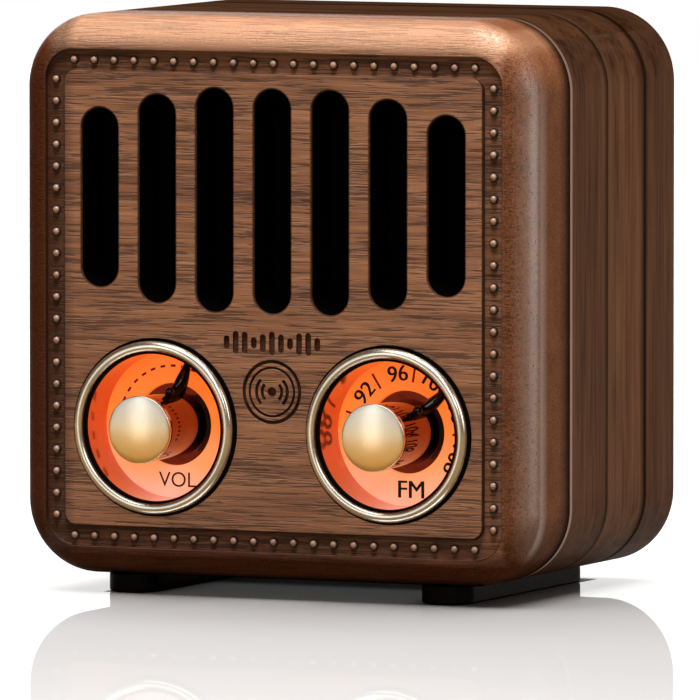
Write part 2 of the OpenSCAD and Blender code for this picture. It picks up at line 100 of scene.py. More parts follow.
bezel_low, bezel_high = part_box("tuning_bezel")
DIAL_X = (bezel_low[0] + bezel_high[0]) / 2 / MM
DIAL_Y = ((bezel_low[2] + bezel_high[2]) / 2 - MID_Z) / MM
DIAL_R = 13.6
TUBE_R = 14.6
LIP_R = 15.6
LIP_OUT = 2.0
GASKET_W = 0.5
PLATE_Z = -7.5
PLATE_T = 1.2
HOLE_R = 7.45
STEM_R = 5.9
CAP_R = 6.1
KNOB_OUT = 7.6
CAP_T = 1.2
VOLUME_REST = 18.0
TUNING_REST = 48.0

TO_WORLD = (
    Matrix.Translation((0, FACE_Y, MID_Z))
    @ Matrix.Rotation(math.radians(90), 4, "X")
    @ Matrix.Scale(MM, 4)
)

# ---------------------------------------------------------------------------
# Mesh helpers


def added(name, data):
    obj = bpy.data.objects.new(name, data)
    bpy.context.scene.collection.objects.link(obj)
    return obj


def piece(name, verts, faces, material, body="cabinet", slot=None, sharp=35, to_world=TO_WORLD):
    """An object from points in the face frame, riding on a body."""
    mesh = bpy.data.meshes.new(name)
    mesh.from_pydata([tuple(v) for v in verts], [], faces)
    mesh.transform(to_world)
    obj = added(name, mesh)
    tidy(obj, sharp)
    finish_piece(obj, material, body)
    return obj


def finish_piece(obj, material, body):
    if material:
        obj.data.materials.clear()
        obj.data.materials.append(material)
    if body:
        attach(obj, body)


def tidy(obj, sharp=35):
    """Welds, turns the faces outwards and smooths everything but the sharp edges."""
    work = bmesh.new()
    work.from_mesh(obj.data)
    bmesh.ops.remove_doubles(work, verts=work.verts, dist=MICRON)
    bmesh.ops.recalc_face_normals(work, faces=work.faces)
    work.to_mesh(obj.data)
    work.free()
    smooth(obj, sharp)


def smooth(obj, sharp):
    for face in obj.data.polygons:
        face.use_smooth = True
    obj.data.set_sharp_from_angle(angle=math.radians(sharp))


def flat_shading_kept(obj):
    """Large flat faces keep their own normal beside a narrow rounded edge."""
    even = obj.modifiers.new("even", "WEIGHTED_NORMAL")
    even.keep_sharp = True
    even.weight = 50


def baked(obj):
    """Replaces the object's mesh by its result after modifiers."""
    graph = bpy.context.evaluated_depsgraph_get()
    mesh = bpy.data.meshes.new_from_object(obj.evaluated_get(graph))
    obj.modifiers.clear()
    obj.data = mesh


def loft(rings, around=False, caps=True):
    """Points and faces through closed rings that all have the same number of points."""
    count = len(rings[0])
    verts = [p for ring in rings for p in ring]
    faces = []
    steps = len(rings) if around else len(rings) - 1
    for i in range(steps):
        a, b = i * count, (i + 1) % len(rings) * count
        for k in range(count):
            n = (k + 1) % count
            faces.append((a + k, a + n, b + n, b + k))
    if caps and not around:
        faces.append(tuple(reversed(range(count))))
        faces.append(tuple(range(len(verts) - count, len(verts))))
    return verts, faces


def join(parts):
    verts, faces = [], []
    for part_verts, part_faces in parts:
        start = len(verts)
        verts += list(part_verts)
        faces += [tuple(start + k for k in face) for face in part_faces]
    return verts, faces


def moved(part, x=0, y=0, z=0, turn=0):
    """The part turned clockwise about z, in degrees, and then moved."""
    c, s = math.cos(math.radians(turn)), math.sin(math.radians(turn))
    verts, faces = part
    return [(x + c * p[0] + s * p[1], y - s * p[0] + c * p[1], z + p[2]) for p in verts], faces


def at_dial(part, side, z=0):
    return moved(part, side * DIAL_X, DIAL_Y, z)


def arc(cx, cy, r, start, end, steps=8):
    """Points along part of a circle, from one angle in degrees to another."""
    turns = [math.radians(start + (end - start) * k / steps) for k in range(steps + 1)]
    return [(cx + r * math.cos(turn), cy + r * math.sin(turn)) for turn in turns]


def rounded(w, h, r, z, steps=20):
    """A rounded rectangle as a ring of points at height z."""
    x, y = w / 2 - r, h / 2 - r
    points = arc(x, y, r, 0, 90, steps) + arc(-x, y, r, 90, 180, steps)
    points += arc(-x, -y, r, 180, 270, steps) + arc(x, -y, r, 270, 360, steps)
    return [(px, py, z) for px, py in points]


def stadium(w, length, z, steps=24):
    r, y = w / 2, (length - w) / 2
    points = arc(0, y, r, 0, 180, steps) + arc(0, -y, r, 180, 360, steps)
    return [(px, py, z) for px, py in points]


def lathe(profile, steps=128, closed=True):
    """Turns a profile of (radius, z) points about the z axis."""
    turns = [math.tau * k / steps for k in range(steps)]
    rings = [[(r * math.cos(turn), r * math.sin(turn), z) for turn in turns] for r, z in profile]
    return loft(rings, around=closed, caps=False)


def lathe_solid(profile, steps=128):
    """Turns an open profile that starts and ends near the axis, and caps both ends."""
    verts, faces = lathe(profile, steps, closed=False)
    last = (len(profile) - 1) * steps
    return verts, faces + [tuple(reversed(range(steps))), tuple(range(last, last + steps))]


def quarter(r, steps):
    """Points along a quarter round: how far each is in from the one face and from the other."""
    turns = [math.radians(90 * k / steps) for k in range(steps + 1)]
    return [(r * (1 - math.sin(turn)), r * (1 - math.cos(turn))) for turn in turns]


def eased_cutter(outline, depth, ease, above=1.0, steps=6):
    """A cutter whose opening is rounded. outline(grow, z) gives a ring."""
    rings = [outline(ease, above)] + [outline(out, -down) for out, down in quarter(ease, steps)]
    return loft(rings + [outline(0, -depth)])


def cut(obj, cutters, to_world=TO_WORLD):
    """Takes the cutters, which are parts in the piece's own frame, out of the object."""
    for k, part in enumerate(cutters):
        tool = piece(f"cutter_{k}", *part, None, body=None, to_world=to_world)
        step = obj.modifiers.new(f"cut_{k}", "BOOLEAN")
        step.operation = "DIFFERENCE"
        step.solver = "EXACT"
        step.object = tool
    baked(obj)
    for k in range(len(cutters)):
        bpy.data.objects.remove(bpy.data.objects[f"cutter_{k}"])


def soften(obj, width, segments, angle):
    """Rounds the edges that turn by more than the angle."""
    soft = obj.modifiers.new("soft", "BEVEL")
    soft.width = width * MM
    soft.segments = segments
    soft.limit_method = "ANGLE"
    soft.angle_limit = math.radians(angle)


# ---------------------------------------------------------------------------
# Material helpers


class Shader:
    """A material's node tree, with short ways to add to it."""

    def __init__(self, name):
        self.material = bpy.data.materials.new(name)
        self.material.use_nodes = True
        self.tree = self.material.node_tree
        self.surface = self.tree.nodes["Principled BSDF"]

    def add(self, kind, **settings):
        node = self.tree.nodes.new(kind)
        for key, value in settings.items():
            setattr(node, key, value)
        return node

    def put(self, value, socket):
        if isinstance(value, bpy.types.NodeSocket):
            self.tree.links.new(value, socket)
        else:
            socket.default_value = value

    def math(self, operation, a, b=0.0):
        node = self.add("ShaderNodeMath", operation=operation)
        self.put(a, node.inputs[0])
        self.put(b, node.inputs[1])
        return node.outputs[0]

    def times(self, first, *others):
        for other in others:
            first = self.math("MULTIPLY", first, other)
        return first

    def largest(self, first, *others):
        for other in others:
            first = self.math("MAXIMUM", first, other)
        return first

    def minus(self, a, b):
        return self.math("SUBTRACT", a, b)

    def vector(self, operation, a, b):
        node = self.add("ShaderNodeVectorMath", operation=operation)
        self.put(a, node.inputs[0])
        self.put(b, node.inputs[1])
        return node.outputs[0]

    def place(self):
        """Where a point is on its object, in millimetres."""
        coords = self.add("ShaderNodeTexCoord").outputs["Object"]
        return self.vector("MULTIPLY", coords, (1 / MM, 1 / MM, 1 / MM))

    def parts(self, vector):
        node = self.add("ShaderNodeSeparateXYZ")
        self.put(vector, node.inputs[0])
        return node.outputs

    def noise(self, vector, scale=1.0, detail=2.0, rough=0.5, distort=0.0):
        node = self.add("ShaderNodeTexNoise")
        self.put(vector, node.inputs["Vector"])
        keys = ("Scale", "Detail", "Roughness", "Distortion")
        for key, number in zip(keys, (scale, detail, rough, distort)):
            node.inputs[key].default_value = number
        return node.outputs["Fac"]

    def spread(self, value, low, high, to_low=0.0, to_high=1.0):
        node = self.add("ShaderNodeMapRange", clamp=True)
        self.put(value, node.inputs["Value"])
        for key, number in (("From Min", low), ("From Max", high), ("To Min", to_low), ("To Max", to_high)):
            node.inputs[key].default_value = number
        return node.outputs["Result"]

    def mix(self, factor, a, b):
        node = self.add("ShaderNodeMix", data_type="RGBA")
        self.put(factor, node.inputs["Factor"])
        self.put(rgba(a), node.inputs[6])
        self.put(rgba(b), node.inputs[7])
        return node.outputs[2]

    def ramp(self, value, stops):
        node = self.add("ShaderNodeValToRGB")
        self.put(value, node.inputs[0])
        marks = node.color_ramp.elements
        while len(marks) < len(stops):
            marks.new(0.5)
        for mark, (position, colour) in zip(marks, stops):
            mark.position = position
            mark.color = rgba(colour)
        return node.outputs[0]

    def bump(self, height, depth, strength=1.0):
        node = self.add("ShaderNodeBump")
        self.put(height, node.inputs["Height"])
        node.inputs["Distance"].default_value = depth * MM
        node.inputs["Strength"].default_value = strength
        self.put(node.outputs[0], self.surface.inputs["Normal"])

    def set(self, **values):
        for key, value in values.items():
            name = key.replace("_", " ")
            if name not in self.surface.inputs:
                name = name.title() if name.title() in self.surface.inputs else SOCKETS[key]
            if isinstance(value, tuple) and len(value) == 3:
                value = rgba(value)
            self.put(value, self.surface.inputs[name])


SOCKETS = {
    "colour": "Base Color",
    "glow": "Emission Color",
    "glow_strength": "Emission Strength",
    "specular": "Specular IOR Level",
    "coat": "Coat Weight",
    "coat_rough": "Coat Roughness",
    "coat_ior": "Coat IOR",
}


def rgba(colour):
    if isinstance(colour, tuple) and len(colour) == 3:
        return (*colour, 1.0)
    return colour


# Tones of the wood, and of the painted light and shade laid on it. Those in pairs are for dark and light
# grain.
PORE_TONE = (0.036, 0.016, 0.008)
LOW_SHADE_TONE = (0.018, 0.007, 0.003)
RIGHT_SHADE_GRAIN = (0.046, 0.014, 0.005), (0.145, 0.050, 0.020)
TOP_HIGHLIGHT_GRAIN = (0.34, 0.180, 0.100), (0.48, 0.28, 0.18)
SHADED_GRAIN = (0.040, 0.0075, 0.001), (0.075, 0.018, 0.004)
PIT_TONE = (0.020, 0.006, 0.003)
TOP_SHADE_TONE = (0.080, 0.026, 0.009)
RIGHT_SIDE_SHADE_TONE = (0.100, 0.036, 0.014)
LEFT_SHADE_TONE = (0.040, 0.013, 0.005)
CUT_SHADE_TONE = (0.024, 0.008, 0.004)
SLOT_SHADE_TONE = (0.0012, 0.0010, 0.0008)

# Painted shade: the frames darken from the first of these heights down to the second.
LOW_SHADE_ZONE = (20.0, 3.0)

# Painted shade: the walls of the cuts darken with depth. Each row is a share of CUT_RANGE and how dark the
# wall is there.
CUT_RANGE = 1.2
CUT_SHADES = [(0.0, 0.0), (0.02, 0.45), (0.10, 0.95), (0.34, 0.90), (0.39, 0.80), (0.44, 0.80), (0.50, 0.92),
              (0.74, 0.92), (0.80, 0.36)]


def walnut(name, along, tone=1.0, seed=0, shine=0.42, red=1.0, gloss=0.3, pores=1.0, fine=0.40, seam_light_and_shade=(),
           carved=False):
    """Oiled walnut. along is the axis of the grain, tone lightens it and seed picks another board.

    Each entry is painted light and shade along a glue line, mostly crease shade. It has the y of an edge,
    the way in from it, how far its tint reaches, how strong that is, and the tint.
    """
    s = Shader(name)
    spot = s.place()
    axes = s.parts(spot)
    order = {"X": (0, 1, 2), "Y": (1, 2, 0), "Z": (2, 0, 1)}[along]
    turned = s.add("ShaderNodeCombineXYZ")
    for k, axis in enumerate(order):
        s.put(axes[axis], turned.inputs[k])
    board = s.vector("ADD", turned.outputs[0], (seed * 41.7, seed * 13.1, seed * 29.3))

    def grain(long, across, **more):
        return s.noise(s.vector("MULTIPLY", board, (long, across, across)), **more)

    figure = grain(0.012, 0.13, detail=3.0, distort=0.8)
    streaks = grain(0.035, 1.1, detail=4.0, rough=0.62, distort=0.25)
    fibres = grain(0.16, 7.0, detail=2.0)
    lines = grain(0.12, 3.3, detail=2.5, rough=0.6, distort=0.3)
    patches = grain(0.06, 0.22, detail=2.0)

    shade = s.math("ADD", s.times(figure, 0.45), s.times(streaks, 0.55))
    cool = 2 - red
    light = (0.320 * tone, 0.148 * tone * cool, 0.076 * tone * cool)
    middle = (0.228 * tone, 0.100 * tone * cool, 0.049 * tone * cool)
    dark = (0.100 * tone, 0.038 * tone, 0.018 * tone)
    colour = s.ramp(shade, [(0.37, dark), (0.49, middle), (0.61, light)])
    colour = s.mix(s.spread(fibres, 0.35, 0.68, 0.0, fine), colour, dark)

    level = s.spread(patches, 0.35, 0.65, 0.57, 0.46)
    pore = s.spread(s.minus(lines, level), 0.0, 0.06, 0.0, pores)
    colour = s.mix(s.times(pore, 0.66), colour, PORE_TONE)

    if carved:
        colour, gloss = carved_tone(s, axes, colour, gloss)
    else:
        # Painted shade, darker towards the bottom of each frame
        colour = s.mix(s.spread(axes[2], *LOW_SHADE_ZONE, 0.0, 0.75), colour, LOW_SHADE_TONE)
    # Painted crease shade and painted highlights along the glue lines, which also dull the gloss there
    for edge, way, reach, strength, tint in seam_light_and_shade:
        away = s.times(s.minus(axes[1], edge), way)
        near = s.times(s.math("POWER", s.spread(away, 0.0, reach, 1.0, 0.0), 0.7), strength)
        colour = s.mix(near, colour, tint)
        gloss = s.times(s.minus(1.0, near), gloss)
    s.set(colour=colour, specular=gloss)
    s.set(roughness=s.math("ADD", shine, s.times(s.math("ADD", pore, fibres), 0.14)))
    s.bump(s.minus(s.times(fibres, 0.35), pore), 0.10, 0.7)
    return s.material


def carved_tone(s, axes, colour, gloss):
    """Painted light and shade on the front: redder, darker edges, a paler top, dark walls in the cuts, black
    slots.
    """
    x = axes[0]
    across = s.math("ABSOLUTE", x)
    height = s.minus(axes[2], MID_Z / MM)
    depth = s.minus(axes[1], FACE_Y / MM)
    side, top = WIDE / 2 - FRONT_ROUND, TALL / 2 - FRONT_ROUND
    border_in, border_out = STUD_LINE - BORDER_W / 2, STUD_LINE + BORDER_W / 2

    speckle = s.noise(s.place(), scale=2.6, detail=3.0, rough=0.7)
    grainy = s.spread(speckle, 0.38, 0.62)
    pits = s.spread(s.noise(s.place(), scale=2.2, detail=2.0, rough=0.7), 0.63, 0.69)
    right = s.spread(x, side - 0.2, side + 0.8)
    shaded = s.largest(s.spread(x, 1.8 - side, -1.0 - side), s.spread(height, 0.7 - top, -1.9 - top))
    dim = s.spread(x, 2.25 - border_in, -0.15 - border_in, 0.0, 0.62)
    crown = s.spread(height, top + 1.1, top + 4.1)

    # Partly painted shade: the right round-over and side are darker and redder, with a speckle for their end
    # grain
    colour = s.mix(s.times(right, 0.8), colour, s.mix(grainy, *RIGHT_SHADE_GRAIN))
    colour = s.mix(s.times(right, pits), colour, PIT_TONE)
    # Painted highlight: the top round-over is paler, fading towards the flat top and towards the right
    pale = s.times(s.spread(height, top - 1.1, top + 1.1, 0.0, 0.75),
                   s.spread(height, top + 1.5, top + 4.9, 1.0, 0.35),
                   s.spread(x, side - 1.4, side + 3.6, 1.0, 0.1))
    colour = s.mix(pale, colour, s.mix(s.spread(speckle, 0.3, 0.7), *TOP_HIGHLIGHT_GRAIN))
    # Painted shade: the top darkens behind its round-over
    top_shade = s.times(s.spread(depth, FRONT_ROUND - 3.2, FRONT_ROUND + 0.8, 0.0, 0.92), crown)
    colour = s.mix(top_shade, colour, TOP_SHADE_TONE)
    # Painted shade: the flat right side darkens behind the round-over
    side_shade = s.spread(depth, FRONT_ROUND, FRONT_ROUND + 3.4, 0.0, 0.35)
    colour = s.mix(s.times(right, side_shade), colour, RIGHT_SIDE_SHADE_TONE)
    # Painted shade: the face darkens towards the border on its left
    colour = s.mix(dim, colour, LEFT_SHADE_TONE)
    # Painted shade on the left and bottom round-overs
    colour = s.mix(s.times(shaded, 0.9), colour, s.mix(grainy, *SHADED_GRAIN))

    shade = s.ramp(s.spread(depth, 0.0, CUT_RANGE), [(place, (level,) * 3) for place, level in CUT_SHADES])
    past = [s.math("MAXIMUM", s.minus(away, border_out - BORDER_R), 0.0)
            for away in (across, s.math("ABSOLUTE", s.math("ADD", height, BORDER_DROP)))]
    outer = s.math("SQRT", s.math("ADD", *(s.math("POWER", away, 2.0) for away in past)))
    face = s.times(s.spread(outer, BORDER_R, BORDER_R + 0.3, 1.0, 0.0),
                   s.spread(height, border_in - 1.45, border_in + 0.55, 1.0, 0.5))
    # Painted shade in the border and the engraving, half as strong on the top band where more light falls
    colour = s.mix(s.times(shade, face), colour, CUT_SHADE_TONE)

    # Painted shade: the slot walls below their rim, and everything inside the border more than 2 mm deep, go
    # almost black
    slot_end = GRILLE_Y - SLOT_LENGTHS[0] / 2
    inside = s.spread(s.math("MAXIMUM", across, height), border_in - 1.65, border_in - 1.45, 1.0, 0.0)
    slots = s.times(inside, s.spread(height, slot_end - 0.95, slot_end - 0.75), s.spread(depth, 0.28, 0.5))
    deep = s.largest(slots, s.times(inside, s.spread(depth, 2.0, 4.0)))
    colour = s.mix(deep, colour, SLOT_SHADE_TONE)

    polish = s.times(s.spread(x, side + 2.0, side + 4.0),
                     s.spread(height, top - 14.9, top + 1.1, 1.0, 0.15),
                     s.spread(height, -2.1 - top, 6.9 - top, 0.1, 1.0),
                     s.spread(depth, FRONT_ROUND + 0.4, FRONT_ROUND + 2.9, 1.0, 0.0),
                     s.minus(1.0, pits))
    s.set(coat=polish, coat_rough=0.33, coat_ior=1.9)
    dull = s.largest(s.spread(depth, FRONT_ROUND + 0.4, FRONT_ROUND + 3.4),
                     s.times(right, s.spread(x, side + 4.0, side + 2.0)))
    matt = s.largest(deep, s.times(shaded, 0.8), s.times(shade, face, 0.8),
                     s.times(dull, s.spread(height, top + 1.1, top + 4.1, 0.85, 0.0)),
                     s.times(s.spread(depth, FRONT_ROUND - 3.0, FRONT_ROUND + 0.4, 0.0, 0.9), crown))
    return colour, s.times(s.minus(1.0, matt), gloss)


def metal(name, colour, rough=0.3, marks=0.1, scale=0.8, bump=0.004):
    """Metal with fine scuffs that change its roughness."""
    s = Shader(name)
    spot = s.place()
    scuffs = s.noise(spot, scale=scale, detail=5.0, rough=0.65)
    fine = s.noise(spot, scale=scale * 9, detail=3.0)
    s.set(metallic=1.0)
    s.set(colour=s.mix(s.spread(scuffs, 0.35, 0.7), colour, tuple(0.82 * c for c in colour)))
    s.set(roughness=s.spread(scuffs, 0.3, 0.7, max(rough - marks / 2, 0.02), rough + marks))
    s.bump(fine, bump, 0.5)
    return s.material


def plastic(name, colour, rough=0.45, grain=0.01, scale=3.0, gloss=0.0, specular=0.5):
    """Moulded plastic or rubber with a fine texture and a little dust in its tone."""
    s = Shader(name)
    spot = s.place()
    cloud = s.noise(spot, scale=0.12, detail=3.0)
    fine = s.noise(spot, scale=scale, detail=4.0, rough=0.6)
    s.set(colour=s.mix(s.spread(cloud, 0.35, 0.7), colour, tuple(min(1, 1.35 * c + 0.001) for c in colour)))
    s.set(roughness=s.spread(fine, 0.3, 0.7, max(rough - 0.06, 0.03), rough + 0.08))
    s.set(coat=gloss, specular=specular)
    s.bump(fine, grain, 0.6)
    return s.material


def lit_plate(name):
    """Orange dial plate, lit from behind by four lamps and paler towards the bottom."""
    s = Shader(name)
    spot = s.place()
    axes = s.parts(spot)
    drop = s.minus(axes[2], MID_Z / MM + DIAL_Y)
    cloud = s.noise(spot, scale=0.14, detail=2.0)
    blend = s.math("ADD", drop, s.times(s.minus(cloud, 0.5), 9.0))
    colour = s.ramp(
        s.spread(blend, -14.0, 12.0),
        [(0.0, (0.98, 0.47, 0.34)), (0.28, (1.0, 0.34, 0.13)), (0.6, (1.0, 0.22, 0.032)),
         (1.0, (0.98, 0.16, 0.018))],
    )
    s.set(colour=s.mix(0.5, colour, (0.9, 0.2, 0.05)), glow=colour, glow_strength=0.90)
    s.set(roughness=s.spread(cloud, 0.3, 0.7, 0.14, 0.24), specular=0.6, coat=0.5, coat_rough=0.04)
    s.bump(s.noise(spot, scale=2.5, detail=3.0), 0.006, 0.3)
    return s.material


def lit_wall(name):
    """The tinted, polished wall of the dial's cup, which mirrors the plate."""
    s = Shader(name)
    spot = s.place()
    cloud = s.noise(spot, scale=0.12, detail=2.0)
    colour = s.mix(s.spread(cloud, 0.3, 0.7), (0.64, 0.10, 0.026), (0.76, 0.16, 0.056))
    s.set(colour=colour, metallic=0.55, glow=colour, glow_strength=0.06)
    s.set(roughness=s.spread(cloud, 0.3, 0.7, 0.09, 0.15), coat=0.6, coat_rough=0.08)
    s.bump(s.noise(spot, scale=2.0), 0.002, 0.3)
    return s.material


def lamp_housing(name, side):
    """Black plastic with a painted dim red glow for the lamps' light, and painted shade on its far right,
    which stays black.
    """
    s = Shader(name)
    across = s.minus(s.parts(s.place())[0], side * DIAL_X)
    cloud = s.noise(s.place(), scale=0.8, detail=2.0)
    glow = s.times(s.spread(across, 1.0, 6.0, 1.0, 0.0), s.spread(cloud, 0.3, 0.7, 0.8, 1.1))
    s.set(colour=(0.006, 0.003, 0.002), glow=(1.0, 0.10, 0.035), glow_strength=s.times(glow, 0.14))
    s.set(roughness=s.spread(cloud, 0.3, 0.7, 0.4, 0.5), specular=0.2)
    s.bump(cloud, 0.004, 0.3)
    return s.material


def ink(name, colour):
    s = Shader(name)
    spot = s.place()
    wear = s.noise(spot, scale=3.0, detail=4.0)
    s.set(colour=s.mix(s.spread(wear, 0.45, 0.75), colour, tuple(1.6 * c + 0.01 for c in colour)))
    s.set(roughness=s.spread(wear, 0.3, 0.7, 0.35, 0.6))
    return s.material


def cap_metal(name):
    """Satin champagne metal with faint upright brushing, and a painted reflection: golden low down, greyer at
    the top.
    """
    s = Shader(name)
    brush = s.noise(s.vector("MULTIPLY", s.place(), (7.0, 1.0, 0.5)), detail=3.0)
    cloud = s.noise(s.place(), scale=0.4, detail=3.0)
    # Painted reflection: golden low on the cap, greyer high up
    rise = s.spread(s.minus(s.parts(s.place())[2], MID_Z / MM + DIAL_Y), -CAP_R, CAP_R)
    painted_reflection = s.ramp(rise, [(0.0, (0.98, 0.62, 0.20)), (0.25, (0.92, 0.66, 0.34)), (0.50, (0.90, 0.76, 0.54)),
                         (1.0, (0.80, 0.79, 0.74))])
    s.set(metallic=1.0)
    s.set(colour=s.mix(s.spread(cloud, 0.3, 0.7, 0.0, 0.15), painted_reflection, (0.95, 0.90, 0.80)))
    s.set(roughness=s.spread(brush, 0.3, 0.7, 0.20, 0.24))
    s.bump(brush, 0.0006, 0.3)
    return s.material


def weave(name, colour, pitch=0.7):
    """Plain woven cloth: two crossed sets of threads."""
    s = Shader(name)
    axes = s.parts(s.place())
    turns = 2 * math.pi / pitch
    warp = s.math("SINE", s.times(axes[0], turns))
    weft = s.math("SINE", s.times(axes[2], turns))
    height = s.times(s.math("ADD", warp, weft), 0.5)
    fuzz = s.noise(s.place(), scale=4.0, detail=4.0)
    # Painted shade: the threads are darker where they dip
    s.set(colour=s.mix(s.spread(height, -0.8, 0.8), tuple(0.4 * c for c in colour), colour))
    s.set(roughness=s.spread(fuzz, 0.3, 0.7, 0.8, 0.95), specular=0.03)
    s.bump(height, 0.12, 0.8)
    return s.material


# ---------------------------------------------------------------------------
# Cabinet


# Glue lines, with painted light and shade: a pale painted highlight on the first frame's front edge, a
# fainter painted highlight on the second's and painted crease shade on the rear one's. Each frame's front one
# has its reach, its strength and its tint.
SEAM_SHADE = (0.003, 0.0015, 0.001)
FRONT_SEAM_LIGHT_AND_SHADE = [(0.34, 1.0, (0.78, 0.57, 0.48)), (2.0, 0.6, (0.22, 0.13, 0.085)), (1.2, 0.9, SEAM_SHADE)]


def front_slab():
    section = [(inset, rise - SLAB_T) for inset, rise in quarter(SLAB_EASE, 4)]
    section += [(inset, -drop) for drop, inset in quarter(FRONT_ROUND, 16)]
    rings = [rounded(WIDE - 2 * inset, TALL - 2 * inset, CORNER_R - inset, z) for inset, z in section]
    edge = FACE_Y / MM + SLAB_T
    # Painted crease shade along the slab's back edge, against the first frame
    seam_light_and_shade = [(edge, -1, 5.5, 0.85, SEAM_SHADE), (edge, -1, 3.2, 1.0, SEAM_SHADE)]
    wood = walnut("walnut_front", "X", tone=1.14, seed=1, seam_light_and_shade=seam_light_and_shade, carved=True)
    slab = piece("front_slab_carved", *loft(rings), wood, slot="walnut_front")

    pocket = loft([rounded(WIDE - 2 * WALL, TALL - 2 * WALL, INNER_R, -FRONT_WALL),
                   rounded(WIDE - 2 * WALL, TALL - 2 * WALL, INNER_R, -SLAB_T - 1)])
    slots = []
    for k in range(-3, 4):
        long = SLOT_LENGTHS[abs(k)]
        shape = eased_cutter(
            lambda grow, z, long=long: stadium(SLOT_W + 2 * grow, long + 2 * grow, z),
            FRONT_WALL + 1, 0.45)
        slots.append(moved(shape, k * SLOT_PITCH, GRILLE_Y))
    hole = lathe_solid([(TUBE_R + 0.1, -FRONT_WALL - 1), (TUBE_R + 0.1, 1)], 96)
    holes = [at_dial(hole, side) for side in (-1, 1)]
    cut(slab, [pocket, join(slots), join(holes), border_cutter(), ornament_cutter()])
    smooth(slab, 35)
    flat_shading_kept(slab)
    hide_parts("front_slab")


def border_cutter():
    """A closed loop with the section of the sunk border."""
    outer, inner = 2 * STUD_LINE + BORDER_W, 2 * STUD_LINE - BORDER_W
    outer_r, inner_r, ease, low = BORDER_R, BORDER_INNER_R, 0.26, BORDER_DEPTH
    rings = []

    def ring(size, r, grow, z):
        outline = rounded(size + 2 * grow, size + 2 * grow, r + grow, z, 12)
        rings.append([(x, y - BORDER_DROP, z) for x, y, z in outline])

    ring(outer, outer_r, ease, 1.0)
    for grow, down in quarter(ease, 4):
        ring(outer, outer_r, grow, -down)
    ring(outer, outer_r, 0, 0.2 - low)
    ring(outer, outer_r, -0.2, -low)
    ring(inner, inner_r, 0.2, -low)
    ring(inner, inner_r, 0, 0.2 - low)
    for shrink, down in reversed(quarter(ease, 4)):
        ring(inner, inner_r, -shrink, -down)
    ring(inner, inner_r, -ease, 1.0)
    return loft(rings, around=True)


def groove(r_in, r_out, depth, ease=0.12):
    """The section of a round engraved line, as a closed profile."""
    return [(r_out + ease, 0.6), (r_out + ease, 0.0), (r_out, -ease), (r_out - 0.05, -depth),
            (r_in + 0.05, -depth), (r_in, -ease), (r_in - ease, 0.0), (r_in - ease, 0.6)]


def arc_groove(r_in, r_out, start, end, depth, steps=16):
    """Part of a turned engraved line, with flat ends."""
    sections = []
    for k in range(steps + 1):
        turn = math.radians(start + (end - start) * k / steps)
        sections.append([(r * math.cos(turn), r * math.sin(turn), z) for r, z in groove(r_in, r_out, depth)])
    return loft(sections)


def ornament_cutter():
    """Level bars, and below them a ring of teeth around a plain broadcast sign."""
    parts = []
    depth = 0.5
    for k in range(-5, 6):
        long = 1.5 + 2.7 * abs(math.cos(math.radians(k * 50)))
        bar = eased_cutter(
            lambda grow, z, long=long: stadium(1.05 + 2 * grow, long + 2 * grow, z, 10), depth, 0.1, 0.6, 3)
        parts.append(moved(bar, k * 1.78, -7.8))
    sign = [lathe(groove(5.2, 5.7, depth), 96), lathe(groove(4.2, 4.5, depth), 96),
            lathe_solid([(0.7, -depth), (0.8, -0.1), (0.9, 0), (0.9, 0.6)], 32)]
    for side in (0, 180):
        for r in (1.7, 2.8):
            sign.append(arc_groove(r, r + 0.45, side - 45, side + 45, depth))
    parts.append(moved(join(sign), 0, -16.5))
    return join(parts)


def band_studs():
    """Small turned heads on the floor of the border."""
    profile = [(STUD_R + 0.2, -BORDER_DEPTH - 0.1), (STUD_R + 0.2, -BORDER_DEPTH + 0.03),
               (STUD_R, -BORDER_DEPTH + 0.08)]
    profile += [(STUD_R * math.cos(math.radians(t)), -BORDER_DEPTH + 0.14 + 0.66 * math.sin(math.radians(t)))
                for t in (10, 25, 40, 55, 70, 83)]
    stud = lathe_solid(profile, 20)
    parts = []
    for side in range(4):
        for k in range(-STUD_SIDE, STUD_SIDE + 1):
            row = moved(stud, STUD_LINE, k * STUD_PITCH)
            parts.append(moved(moved(row, turn=90 * side), y=-BORDER_DROP))
    s = Shader("walnut_stud")
    spot = s.place()
    axes = s.parts(spot)
    depth = s.math("SUBTRACT", axes[1], FACE_Y / MM)
    tone = s.noise(spot, scale=0.5, detail=3.0)
    top = s.mix(s.spread(tone, 0.3, 0.7), (0.24, 0.125, 0.080), (0.36, 0.22, 0.155))
    # Painted shade: each stud goes nearly black towards the floor of the border
    s.set(colour=s.mix(s.spread(depth, 0.36, 0.68), top, (0.012, 0.005, 0.003)))
    s.set(roughness=s.spread(tone, 0.3, 0.7, 0.34, 0.5))
    s.bump(s.noise(spot, scale=5.0), 0.03, 0.6)
    studs = piece("band_studs_turned", *join(parts), s.material, slot="walnut_stud", sharp=50)
    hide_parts("band_studs")


SIDES = {"right": 0, "top": 90, "left": 180, "bottom": 270}


def stave_path(side, w, h, r, inset, steps=10):
    """The outline's part between two mitres, as points in the plane."""
    if side in ("top", "bottom"):
        w, h = h, w
    x, y = w / 2 - r, h / 2 - r
    points = arc(x, -y, r - inset, -45, 0, steps) + arc(x, y, r - inset, 0, 45, steps)
    c, s = math.cos(math.radians(SIDES[side])), math.sin(math.radians(SIDES[side]))
    return [(c * px - s * py, s * px + c * py) for px, py in points]


